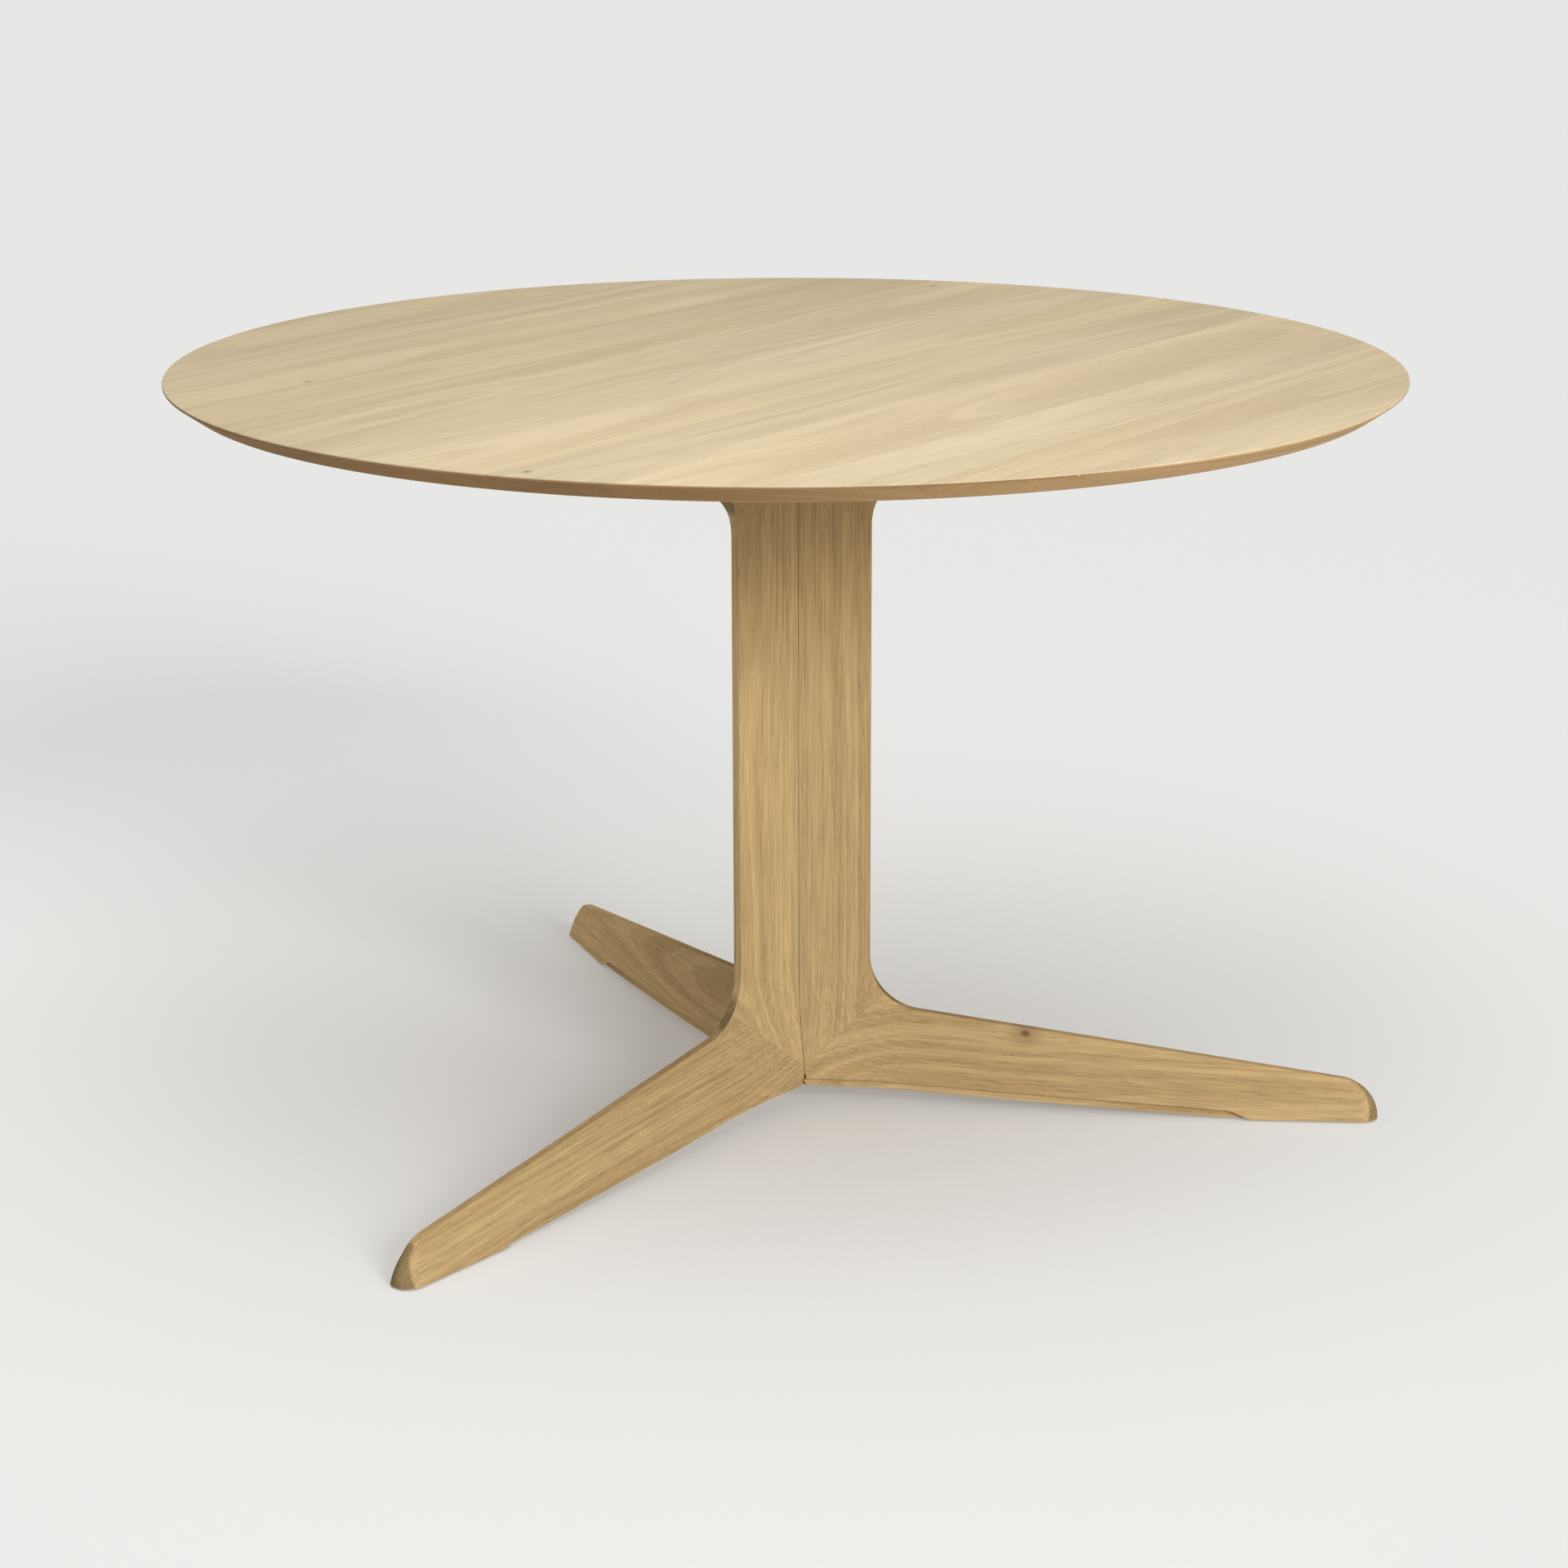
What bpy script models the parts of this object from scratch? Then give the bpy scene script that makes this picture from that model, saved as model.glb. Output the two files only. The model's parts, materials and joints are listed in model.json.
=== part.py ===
"""Round pedestal table: a glued oak disc on three oak blades set at 120 degrees.

Metres, +Z up, the floor at z = 0 and the table's axis on the Z axis.
A blade is drawn in its own frame: "out" is the distance from the axis, "side"
is square to the blade, and z is height. It is then turned to its own bearing.
"""

import math

import bmesh
import bpy
from mathutils import Matrix, Vector

# ---- overall sizes ----------------------------------------------------------
TABLE_HEIGHT = 0.760
TOP_RADIUS = 0.600
TOP_THICKNESS = 0.018
LEG_REACH = 0.6015
COLUMN_REACH = 0.0845
BLADE_COUNT = 3
FIRST_BLADE_BEARING = math.radians(234.0)
GRAIN_BEARING = math.radians(54.0)

# ---- fits -------------------------------------------------------------------
JOINT_GAP = 0.0003
COUNTERBORE_CLEARANCE = 0.0015

# ---- mesh detail ------------------------------------------------------------
WELD = 1e-5
FLAT_ANGLE = math.radians(0.05)
SMOOTH_ANGLE = math.radians(30.0)
TOP_SEGMENTS = 96
PLATE_SEGMENTS = 40
GLIDE_SEGMENTS = 24
BOLT_SEGMENTS = 12
SCREW_SEGMENTS = 8
FAN_STEPS = 7
COLUMN_STEPS = 3
LEG_BLEND_STEPS = 3
REBATE_STEPS = 7
NOSE_STEPS = 8
NOSE_SIDE_STEPS = 4
ARM_END_STEPS = 4

# ---- tabletop ---------------------------------------------------------------
# The staves share the top's width in the proportions of these widths.
STAVE_WIDTHS = (0.080, 0.088, 0.096, 0.116, 0.102, 0.101, 0.080, 0.118, 0.129, 0.106, 0.094, 0.090)
RIM_EDGE_HEIGHT = 0.0025
RIM_BEVEL_INSET = 0.0225
RIM_ARRIS = 0.0005
RIM_BOTTOM_ROUND = 0.0022

# ---- blades: the section and the fillets ------------------------------------
BLADE_EDGE_HALF = 0.0045
BLADE_TAPER = 0.30
ARRIS = 0.0008
FILLET_RADIUS = 0.058

# ---- legs -------------------------------------------------------------------
LEG_TAPER = 0.33
LEG_TAPER_BLEND = 0.100
LEG_TOP_AT_FILLET = 0.100
LEG_TOP_AT_NOSE = 0.0437
NOSE_RADIUS = 0.042
NOSE_ROUND_LENGTH = 0.018
NOSE_ROUND_SHARE = 0.96
NOSE_BLEND_TURN = math.radians(34.0)
NOSE_LAST_TURN = math.radians(83.0)
NOSE_FOOT_SHARE = 0.7
UNDERSIDE_AT_AXIS = 0.029
FOOT_HEIGHT = 0.002
PAD_LENGTH = 0.1515

# ---- rebate along the lower edge of each leg --------------------------------
REBATE_HEIGHT = 0.0085
REBATE_DEPTH = 0.0055
REBATE_FROM_TIP = 0.1245
REBATE_CURVE_LENGTH = 0.030

# ---- upper arms -------------------------------------------------------------
ARM_FILLET_START = 0.139
ARM_REACH = 0.300
ARM_SLOPE = 0.160
ARM_EDGE_HALF = 0.018
ARM_BLEND_DELAY = math.radians(18.0)
ARM_TAPER = 0.07
ARM_END_ROUND = 0.012

# ---- inner joinery ----------------------------------------------------------
TENON_THICKNESS = 0.010
TENON_WIDTH = 0.040
TENON_LENGTH = 0.050
SPLINE_THICKNESS = 0.004
SPLINE_WIDTH = 0.014
SPLINE_FROM_AXIS = 0.016
SPLINE_BOTTOM = 0.090
SPLINE_BELOW_TOP = 0.092

# ---- tie plate and battens --------------------------------------------------
PLATE_RADIUS = 0.080
PLATE_THICKNESS = 0.004
PLATE_SCREW_OUT = 0.035
BATTEN_FROM_RIM = 0.220
BATTEN_END_MARGIN = 0.024
BATTEN_WIDTH = 0.025
BATTEN_THICKNESS = 0.004
BATTEN_SCREWS = 3
BATTEN_SCREW_FROM_END = 0.060

# ---- screws, bolts and inserts ----------------------------------------------
SCREW_RADIUS = 0.002
SCREW_HEAD_RADIUS = 0.004
SCREW_HEAD_HEIGHT = 0.0025
SCREW_HEAD_LIP = 0.0004
SCREW_POINT_RADIUS = 0.0006
PLATE_SCREW_LENGTH = 0.020
BATTEN_SCREW_LENGTH = 0.012
GLIDE_SCREW_LENGTH = 0.0125
BOLT_PLACES = (0.175, 0.255)
BOLT_RADIUS = 0.004
BOLT_HEAD_RADIUS = 0.0065
BOLT_HEAD_HEIGHT = 0.008
BOLT_EDGE_BREAK = 0.0006
BOLT_SOCKET_RADIUS = 0.0033
BOLT_SOCKET_DEPTH = 0.0035
BOLT_SEAT_BELOW_TOP = 0.040
BOLT_INTO_TOP = 0.010
INSERT_RADIUS = 0.0062
INSERT_LENGTH = 0.012

# ---- foot glides ------------------------------------------------------------
GLIDE_FROM_TIP = 0.0685
GLIDE_RADIUS = 0.012
GLIDE_THICKNESS = 0.0045
GLIDE_EDGE_BREAK = 0.0008
GLIDE_SCREW_RECESS = 0.0015

# ---- cutters ----------------------------------------------------------------
OVERCUT = 0.010
SEAT_OVERLAP = 0.001

# ---- sizes that follow from the ones above ----------------------------------
HALF_GAP = 0.5 * JOINT_GAP
TOP_UNDERSIDE = TABLE_HEIGHT - TOP_THICKNESS
BASE_TOP = TOP_UNDERSIDE - JOINT_GAP
PLATE_TOP = BASE_TOP - JOINT_GAP
SPLINE_TOP = TOP_UNDERSIDE - SPLINE_BELOW_TOP
WEDGE_ANGLE = math.pi / BLADE_COUNT
WEDGE_SLOPE = math.tan(WEDGE_ANGLE)
WEDGE_SETBACK = HALF_GAP / math.cos(WEDGE_ANGLE)
AXIS_OUT = WEDGE_SETBACK / WEDGE_SLOPE
FILLET_OUT = COLUMN_REACH + FILLET_RADIUS
NOSE_OUT = LEG_REACH - NOSE_RADIUS
LEG_TOP_SLOPE = (LEG_TOP_AT_FILLET - LEG_TOP_AT_NOSE) / (NOSE_OUT - FILLET_OUT)
LEG_TILT = math.atan(LEG_TOP_SLOPE)
ARM_TILT = math.atan(ARM_SLOPE)
LEG_INWARD = (-math.sin(LEG_TILT), -math.cos(LEG_TILT))
ARM_INWARD = (-math.sin(ARM_TILT), math.cos(ARM_TILT))
LEG_FILLET_CENTRE = (FILLET_OUT, LEG_TOP_AT_FILLET + FILLET_RADIUS / math.cos(LEG_TILT))
ARM_FILLET_CENTRE = (FILLET_OUT, TOP_UNDERSIDE - ARM_FILLET_START)
NOSE_CENTRE = (NOSE_OUT, LEG_TOP_AT_NOSE - NOSE_RADIUS / math.cos(LEG_TILT))
SIDE_LEVELS = [ARRIS * step for step in range(NOSE_SIDE_STEPS + 1)]
UNDERSIDE_SLOPE = (UNDERSIDE_AT_AXIS - FOOT_HEIGHT) / (LEG_REACH - PAD_LENGTH)
REBATE_CURVE_END = LEG_REACH - REBATE_FROM_TIP
REBATE_CURVE_START = REBATE_CURVE_END - REBATE_CURVE_LENGTH
GLIDE_OUT = LEG_REACH - GLIDE_FROM_TIP
LOW_MITRE = math.atan2(UNDERSIDE_AT_AXIS - LEG_FILLET_CENTRE[1], -FILLET_OUT) + 2.0 * math.pi
HIGH_MITRE = math.atan2(ARM_FILLET_START, -FILLET_OUT)
LEG_FAN_END = 1.5 * math.pi - LEG_TILT
ARM_FAN_END = 0.5 * math.pi + ARM_TILT
BATTEN_OFFSET = TOP_RADIUS - BATTEN_FROM_RIM
BATTEN_HALF_LENGTH = math.sqrt(
    (TOP_RADIUS - RIM_BEVEL_INSET - BATTEN_END_MARGIN) ** 2 - (BATTEN_OFFSET + 0.5 * BATTEN_WIDTH) ** 2
)
BATTEN_SCREW_SPACING = 2.0 * (BATTEN_HALF_LENGTH - BATTEN_SCREW_FROM_END) / (BATTEN_SCREWS - 1)
BOLT_SEAT = BASE_TOP - BOLT_SEAT_BELOW_TOP

UPSIDE_DOWN = Matrix.Rotation(math.pi, 4, "X")


# ---- scene and materials ----------------------------------------------------
def clear_scene():
    for obj in list(bpy.data.objects):
        bpy.data.objects.remove(obj, do_unlink=True)


def finish(name, colour, roughness, metallic=0.0):
    material = bpy.data.materials.new(name)
    material.use_nodes = True
    shader = material.node_tree.nodes["Principled BSDF"]
    shader.inputs["Base Color"].default_value = (*colour, 1.0)
    shader.inputs["Roughness"].default_value = roughness
    shader.inputs["Metallic"].default_value = metallic
    return material


# ---- mesh tools -------------------------------------------------------------
def face_outwards(bm):
    bmesh.ops.recalc_face_normals(bm, faces=bm.faces)
    if bm.calc_volume(signed=True) < 0.0:
        bmesh.ops.reverse_faces(bm, faces=bm.faces)


def link_object(name, bm):
    face_outwards(bm)
    mesh = bpy.data.meshes.new(name)
    bm.to_mesh(mesh)
    bm.free()
    obj = bpy.data.objects.new(name, mesh)
    bpy.context.scene.collection.objects.link(obj)
    return obj


def make_part(name, bm, material):
    bmesh.ops.remove_doubles(bm, verts=bm.verts, dist=WELD)
    bmesh.ops.dissolve_degenerate(bm, edges=bm.edges, dist=WELD)
    bmesh.ops.dissolve_limit(bm, angle_limit=FLAT_ANGLE, verts=bm.verts, edges=bm.edges)
    bmesh.ops.triangulate(bm, faces=[face for face in bm.faces if len(face.verts) > 3])
    obj = link_object(name, bm)
    obj.data.materials.append(material)
    obj.data.shade_smooth()
    obj.data.set_sharp_from_angle(angle=SMOOTH_ANGLE)
    return obj


def cut(obj, name, bm):
    """Takes the shape in bm out of the object."""
    cutter = link_object(name, bm)
    cutter.hide_render = True
    cutter.display_type = "WIRE"
    modifier = obj.modifiers.new(name, "BOOLEAN")
    modifier.operation = "DIFFERENCE"
    modifier.solver = "EXACT"
    modifier.object = cutter


def smoothstep(value):
    value = min(1.0, max(0.0, value))
    return value * value * (3.0 - 2.0 * value)


def steps(first, last, count):
    return [first + (last - first) * step / count for step in range(count + 1)]


def loft(bm, rings):
    """Joins rings of points into one closed skin with a cap at each end."""
    rows = [[bm.verts.new(point) for point in ring] for ring in rings]
    count = len(rows[0])
    for first, second in zip(rows, rows[1:]):
        for i in range(count):
            j = (i + 1) % count
            bm.faces.new((first[i], first[j], second[j], second[i]))
    bm.faces.new(rows[0])
    bm.faces.new(rows[-1])


def circle_of_verts(bm, radius, z, segments, place):
    row = []
    for i in range(segments):
        turn = 2.0 * math.pi * i / segments
        point = Vector((radius * math.cos(turn), radius * math.sin(turn), z))
        row.append(bm.verts.new(place @ point))
    return row


def bridge(bm, first, second, segments):
    """Faces between two circles, either of which may be a single point."""
    for i in range(segments):
        j = (i + 1) % segments
        corners = []
        for row, places in ((first, (i, j)), (second, (j, i))):
            for k in places:
                vert = row[k % len(row)]
                if vert not in corners:
                    corners.append(vert)
        bm.faces.new(corners)


def revolve(bm, profile, segments, place):
    """Turns a profile of (radius, z) points, which starts and ends on the axis."""
    rows = []
    for radius, z in profile:
        count = segments if radius > 0.0 else 1
        rows.append(circle_of_verts(bm, radius, z, count, place))
    for first, second in zip(rows, rows[1:]):
        bridge(bm, first, second, segments)


def sleeve(bm, outer, inner, bottom, top, segments, place):
    """A round tube, open through its middle."""
    profile = ((outer, bottom), (outer, top), (inner, top), (inner, bottom))
    rows = [circle_of_verts(bm, radius, z, segments, place) for radius, z in profile]
    for first, second in zip(rows, rows[1:] + rows[:1]):
        bridge(bm, first, second, segments)


def cylinder(bm, radius, bottom, top, segments, place):
    revolve(bm, ((0.0, bottom), (radius, bottom), (radius, top), (0.0, top)), segments, place)


def box(bm, size, place):
    """A box centred on the matrix's origin."""
    made = bmesh.ops.create_cube(bm, size=1.0)
    bmesh.ops.transform(bm, matrix=place @ Matrix.Diagonal((*size, 1.0)), verts=made["verts"])


# ---- places -----------------------------------------------------------------
def turn_to(bearing):
    return Matrix.Rotation(bearing, 4, "Z")


def along_grain(along, across, z):
    return turn_to(GRAIN_BEARING) @ Matrix.Translation((along, across, z))


def blade_bearing(index):
    return FIRST_BLADE_BEARING + 2.0 * math.pi * index / BLADE_COUNT


def in_blade(index, out, z):
    return turn_to(blade_bearing(index)) @ Matrix.Translation((out, 0.0, z))


def plate_screw_places():
    return [in_blade(index, PLATE_SCREW_OUT, PLATE_TOP) for index in range(BLADE_COUNT)]


def bolt_places(index):
    return [in_blade(index, out, 0.0) for out in BOLT_PLACES]


def batten_screw_places(along):
    """Where one batten's screws start, each pointing up into the top."""
    places = []
    for step in range(BATTEN_SCREWS):
        across = (step - 0.5 * (BATTEN_SCREWS - 1)) * BATTEN_SCREW_SPACING
        places.append(along_grain(along, across, TOP_UNDERSIDE) @ UPSIDE_DOWN)
    return places


def glide_screw_place(index):
    return in_blade(index, GLIDE_OUT, GLIDE_SCREW_RECESS) @ UPSIDE_DOWN


# ---- slices through a blade's boards ----------------------------------------
def wedge_limit(out):
    """Half-thickness at which a blade meets its neighbours near the axis."""
    return max(0.0, WEDGE_SLOPE * out - WEDGE_SETBACK)


def valley_depth(start, inward, edge_half, taper):
    """Depth at which the board's side face meets the neighbouring blade."""
    rise = WEDGE_SLOPE * start[0] - WEDGE_SETBACK - edge_half
    return rise / (taper - WEDGE_SLOPE * inward[0])


def ring_from_side(side_points, bearing):
    """A whole slice from the points down one of its sides."""
    turn = turn_to(bearing)
    left = [turn @ Vector((out, side, z)) for out, side, z in side_points]
    right = [turn @ Vector((out, -side, z)) for out, side, z in reversed(side_points)]
    return left + right


def plain_slice(start, inward, end_depth, edge_half, taper):
    """Points down one side of a column or arm slice: edge, face, valley, back."""
    valley = min(valley_depth(start, inward, edge_half, taper), end_depth)
    points = []
    for depth in (0.0, ARRIS, valley, end_depth):
        out = start[0] + inward[0] * depth
        z = start[1] + inward[1] * depth
        half = edge_half + taper * depth
        if depth == 0.0:
            half -= ARRIS
        points.append((out, min(half, wedge_limit(out)), z))
    return points


def fan_line(centre, angle, shift):
    """A slice line through a fillet's centre, moved sideways by shift."""
    away = (math.cos(angle), math.sin(angle))
    out = centre[0] + away[0] * FILLET_RADIUS - away[1] * shift
    z = centre[1] + away[1] * FILLET_RADIUS + away[0] * shift
    return (out, z), away


def arm_blend(angle):
    """From 0 on the column to 1 where the upper fillet runs into the arm."""
    first = math.pi - ARM_BLEND_DELAY
    return smoothstep((first - angle) / (first - ARM_FAN_END))


def arm_edge_half(angle):
    return BLADE_EDGE_HALF + (ARM_EDGE_HALF - BLADE_EDGE_HALF) * arm_blend(angle)


def arm_taper(angle):
    return BLADE_TAPER + (ARM_TAPER - BLADE_TAPER) * arm_blend(angle)


# ---- column board -----------------------------------------------------------
def column_board(index, material):
    rings = []

    def add(start, inward, edge_half, taper):
        end_depth = (AXIS_OUT - start[0]) / inward[0]
        side_points = plain_slice(start, inward, end_depth, edge_half, taper)
        rings.append(ring_from_side(side_points, blade_bearing(index)))

    for angle in steps(LOW_MITRE, math.pi, FAN_STEPS):
        shift = -HALF_GAP if angle == LOW_MITRE else 0.0
        start, away = fan_line(LEG_FILLET_CENTRE, angle, shift)
        add(start, away, BLADE_EDGE_HALF, BLADE_TAPER)
    for height in steps(LEG_FILLET_CENTRE[1], ARM_FILLET_CENTRE[1], COLUMN_STEPS)[1:-1]:
        add((COLUMN_REACH, height), (-1.0, 0.0), BLADE_EDGE_HALF, BLADE_TAPER)
    for angle in steps(math.pi, HIGH_MITRE, FAN_STEPS):
        shift = HALF_GAP if angle == HIGH_MITRE else 0.0
        start, away = fan_line(ARM_FILLET_CENTRE, angle, shift)
        add(start, away, arm_edge_half(angle), arm_taper(angle))
    bm = bmesh.new()
    loft(bm, rings)
    return make_part("column_board_%d" % (index + 1), bm, material)


# ---- leg board --------------------------------------------------------------
def leg_top(out):
    return LEG_TOP_AT_FILLET - LEG_TOP_SLOPE * (out - FILLET_OUT)


def leg_bottom(out):
    return max(FOOT_HEIGHT, UNDERSIDE_AT_AXIS - UNDERSIDE_SLOPE * out)


def leg_ledge(out):
    """Height of the ledge above the rebate, which runs down to the foot pad."""
    fade = 1.0 - smoothstep((out - REBATE_CURVE_START) / REBATE_CURVE_LENGTH)
    return leg_bottom(out) + REBATE_HEIGHT * fade


def depth_to(start, inward, height_at):
    """How deep along a slice the line of heights lies."""
    depth = 0.0
    for _ in range(12):
        depth = (start[1] - height_at(start[0] + inward[0] * depth)) / -inward[1]
    return max(0.0, depth)


def leg_taper(out):
    return BLADE_TAPER + (LEG_TAPER - BLADE_TAPER) * smoothstep((out - FILLET_OUT) / LEG_TAPER_BLEND)


def rounded_half(half, depth, length, width):
    """Half-thickness near an edge with an elliptical round of that length and width."""
    if depth >= length:
        return half
    return half - width + width * math.sqrt(1.0 - (1.0 - depth / length) ** 2)


def leg_slice(start, inward, taper):
    """Points down one side of a leg slice, with the rebate along its foot."""
    end = depth_to(start, inward, leg_bottom)
    ledge = min(end, depth_to(start, inward, leg_ledge))

    def point(depth, cut_back):
        out = start[0] + inward[0] * depth
        z = start[1] + inward[1] * depth
        half = rounded_half(BLADE_EDGE_HALF + taper * depth, depth, ARRIS, ARRIS) - cut_back
        return (out, min(half, wedge_limit(out)), z)

    valley = valley_depth(start, inward, BLADE_EDGE_HALF, taper)
    low_valley = valley_depth(start, inward, BLADE_EDGE_HALF - REBATE_DEPTH, taper)
    points = [point(level, 0.0) for level in SIDE_LEVELS]
    points.append(point(max(SIDE_LEVELS[-1], min(valley, ledge)), 0.0))
    points.append(point(ledge, 0.0))
    points.append(point(ledge, REBATE_DEPTH))
    points.append(point(max(ledge, min(low_valley, end)), REBATE_DEPTH))
    points.append(point(end, REBATE_DEPTH))
    return points


def nose_slice(turn):
    """Points down one side of an upright slice, at a turn from the nose's crown."""
    out = NOSE_OUT + NOSE_RADIUS * math.sin(turn)
    top = NOSE_CENTRE[1] + NOSE_RADIUS * math.cos(turn)
    blend = smoothstep((turn - LEG_TILT) / NOSE_BLEND_TURN)
    length = ARRIS + blend * (NOSE_ROUND_LENGTH - ARRIS)
    points = []
    for share in steps(0.0, 1.0, NOSE_SIDE_STEPS + 2):
        z = top + (FOOT_HEIGHT - top) * share * share
        half = BLADE_EDGE_HALF + LEG_TAPER * (leg_top(out) - z) * math.cos(LEG_TILT)
        width = ARRIS + blend * (NOSE_ROUND_SHARE * half - ARRIS)
        from_arc = NOSE_RADIUS - math.hypot(out - NOSE_OUT, z - NOSE_CENTRE[1])
        from_tip = NOSE_OUT + math.sqrt(NOSE_RADIUS ** 2 - (z - NOSE_CENTRE[1]) ** 2) - out
        depth = max(0.0, from_arc + blend * (from_tip - from_arc))
        points.append((out, rounded_half(half, depth, length, width), z))
    foot = (out, NOSE_FOOT_SHARE * points[-1][1], FOOT_HEIGHT)
    return points + [foot, foot, foot]


def leg_board(index, material):
    rings = []

    def add(start, inward, taper):
        side_points = leg_slice(start, inward, taper)
        rings.append(ring_from_side(side_points, blade_bearing(index)))

    for angle in steps(LOW_MITRE, LEG_FAN_END, FAN_STEPS):
        shift = HALF_GAP if angle == LOW_MITRE else 0.0
        start, away = fan_line(LEG_FILLET_CENTRE, angle, shift)
        add(start, away, BLADE_TAPER)
    first = LEG_FILLET_CENTRE[0] + LEG_INWARD[0] * FILLET_RADIUS
    lean = leg_top(REBATE_CURVE_END) * LEG_TOP_SLOPE
    stations = steps(first, first + LEG_TAPER_BLEND, LEG_BLEND_STEPS)[1:]
    stations += steps(REBATE_CURVE_START + lean, REBATE_CURVE_END + lean, REBATE_STEPS)
    for out in stations:
        add((out, leg_top(out)), LEG_INWARD, leg_taper(out))
    for turn in steps(LEG_TILT, NOSE_LAST_TURN, NOSE_STEPS):
        rings.append(ring_from_side(nose_slice(turn), blade_bearing(index)))
    bm = bmesh.new()
    loft(bm, rings)
    return make_part("leg_board_%d" % (index + 1), bm, material)


# ---- arm board --------------------------------------------------------------
def arm_board(index, material):
    rings = []

    def add(start, inward, edge_half, taper):
        end_depth = (BASE_TOP - start[1]) / inward[1]
        side_points = plain_slice(start, inward, end_depth, edge_half, taper)
        rings.append(ring_from_side(side_points, blade_bearing(index)))

    for angle in steps(HIGH_MITRE, ARM_FAN_END, FAN_STEPS):
        shift = -HALF_GAP if angle == HIGH_MITRE else 0.0
        start, away = fan_line(ARM_FILLET_CENTRE, angle, shift)
        add(start, away, arm_edge_half(angle), arm_taper(angle))
    first = ARM_FILLET_CENTRE[0] + ARM_INWARD[0] * FILLET_RADIUS
    first_z = ARM_FILLET_CENTRE[1] + ARM_INWARD[1] * FILLET_RADIUS
    for turn in steps(0.0, 0.5 * math.pi, ARM_END_STEPS):
        out = ARM_REACH - ARM_END_ROUND * (1.0 - math.sin(turn))
        lift = ARM_END_ROUND * (1.0 - math.cos(turn))
        z = first_z + ARM_SLOPE * (out - first) + lift
        add((out, z), ARM_INWARD, ARM_EDGE_HALF + ARM_TAPER * lift, ARM_TAPER)
    bm = bmesh.new()
    loft(bm, rings)
    return make_part("arm_board_%d" % (index + 1), bm, material)


# ---- loose tenons and splines -----------------------------------------------
def tenon(bm, index, centre, angle, clearance):
    """A loose tenon across the middle of a mitre, which runs from the fillet to the axis."""
    reach = 0.5 * (FILLET_RADIUS - centre[0] / math.cos(angle))
    out = centre[0] + math.cos(angle) * reach
    z = centre[1] + math.sin(angle) * reach
    place = in_blade(index, out, z) @ Matrix.Rotation(-angle, 4, "Y")
    size = (TENON_WIDTH, TENON_THICKNESS, TENON_LENGTH)
    box(bm, [side + 2.0 * clearance for side in size], place)


def low_tenon(bm, index, clearance):
    tenon(bm, index, LEG_FILLET_CENTRE, LOW_MITRE, clearance)


def high_tenon(bm, index, clearance):
    tenon(bm, index, ARM_FILLET_CENTRE, HIGH_MITRE, clearance)


def spline(bm, index, clearance):
    """A tongue across the joint between this blade and the next one."""
    turn = turn_to(blade_bearing(index) + WEDGE_ANGLE)
    place = turn @ Matrix.Translation((SPLINE_FROM_AXIS, 0.0, 0.5 * (SPLINE_BOTTOM + SPLINE_TOP)))
    size = (SPLINE_THICKNESS, SPLINE_WIDTH, SPLINE_TOP - SPLINE_BOTTOM)
    box(bm, [side + 2.0 * clearance for side in size], place)


def build_joinery(index, material):
    for name, shape in (
        ("lower_mitre_tenon", low_tenon),
        ("upper_mitre_tenon", high_tenon),
        ("hub_spline", spline),
    ):
        bm = bmesh.new()
        shape(bm, index, 0.0)
        make_part("%s_%d" % (name, index + 1), bm, material)


# ---- screws and bolts -------------------------------------------------------
def wood_screw(bm, place, length, clearance):
    """A countersunk screw with its head at the matrix's origin, pointing down."""
    head = SCREW_HEAD_RADIUS + clearance
    shank = SCREW_RADIUS + clearance
    tip = -length - clearance
    profile = (
        (0.0, clearance),
        (head, clearance),
        (head, -SCREW_HEAD_LIP),
        (shank, -SCREW_HEAD_HEIGHT),
        (shank, tip + SCREW_RADIUS),
        (SCREW_POINT_RADIUS, tip),
        (0.0, tip),
    )
    revolve(bm, profile, SCREW_SEGMENTS, place)


def screw(name, place, length, material):
    bm = bmesh.new()
    wood_screw(bm, place, length, 0.0)
    make_part(name, bm, material)


def screw_holes(obj, name, places, length):
    """Countersunk holes right through a piece that is thinner than its screws."""
    bm = bmesh.new()
    for place in places:
        wood_screw(bm, place, length + OVERCUT, JOINT_GAP)
    cut(obj, name, bm)


def pilot_holes(bm, places, skipped, length):
    """Blind holes for screws, past the thickness of the piece they hold."""
    for place in places:
        bottom = -length - 2.0 * JOINT_GAP
        cylinder(bm, SCREW_RADIUS + JOINT_GAP, bottom, -skipped + SEAT_OVERLAP, SCREW_SEGMENTS, place)


def bolt(name, place, material):
    bottom = BOLT_SEAT - BOLT_HEAD_HEIGHT
    tip = TOP_UNDERSIDE + BOLT_INTO_TOP
    profile = (
        (0.0, bottom + BOLT_SOCKET_DEPTH),
        (BOLT_SOCKET_RADIUS, bottom + BOLT_SOCKET_DEPTH),
        (BOLT_SOCKET_RADIUS, bottom),
        (BOLT_HEAD_RADIUS - BOLT_EDGE_BREAK, bottom),
        (BOLT_HEAD_RADIUS, bottom + BOLT_EDGE_BREAK),
        (BOLT_HEAD_RADIUS, BOLT_SEAT - JOINT_GAP),
        (BOLT_RADIUS, BOLT_SEAT - JOINT_GAP),
        (BOLT_RADIUS, tip - BOLT_EDGE_BREAK),
        (BOLT_RADIUS - BOLT_EDGE_BREAK, tip),
        (0.0, tip),
    )
    bm = bmesh.new()
    revolve(bm, profile, BOLT_SEGMENTS, place)
    make_part(name, bm, material)


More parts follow.
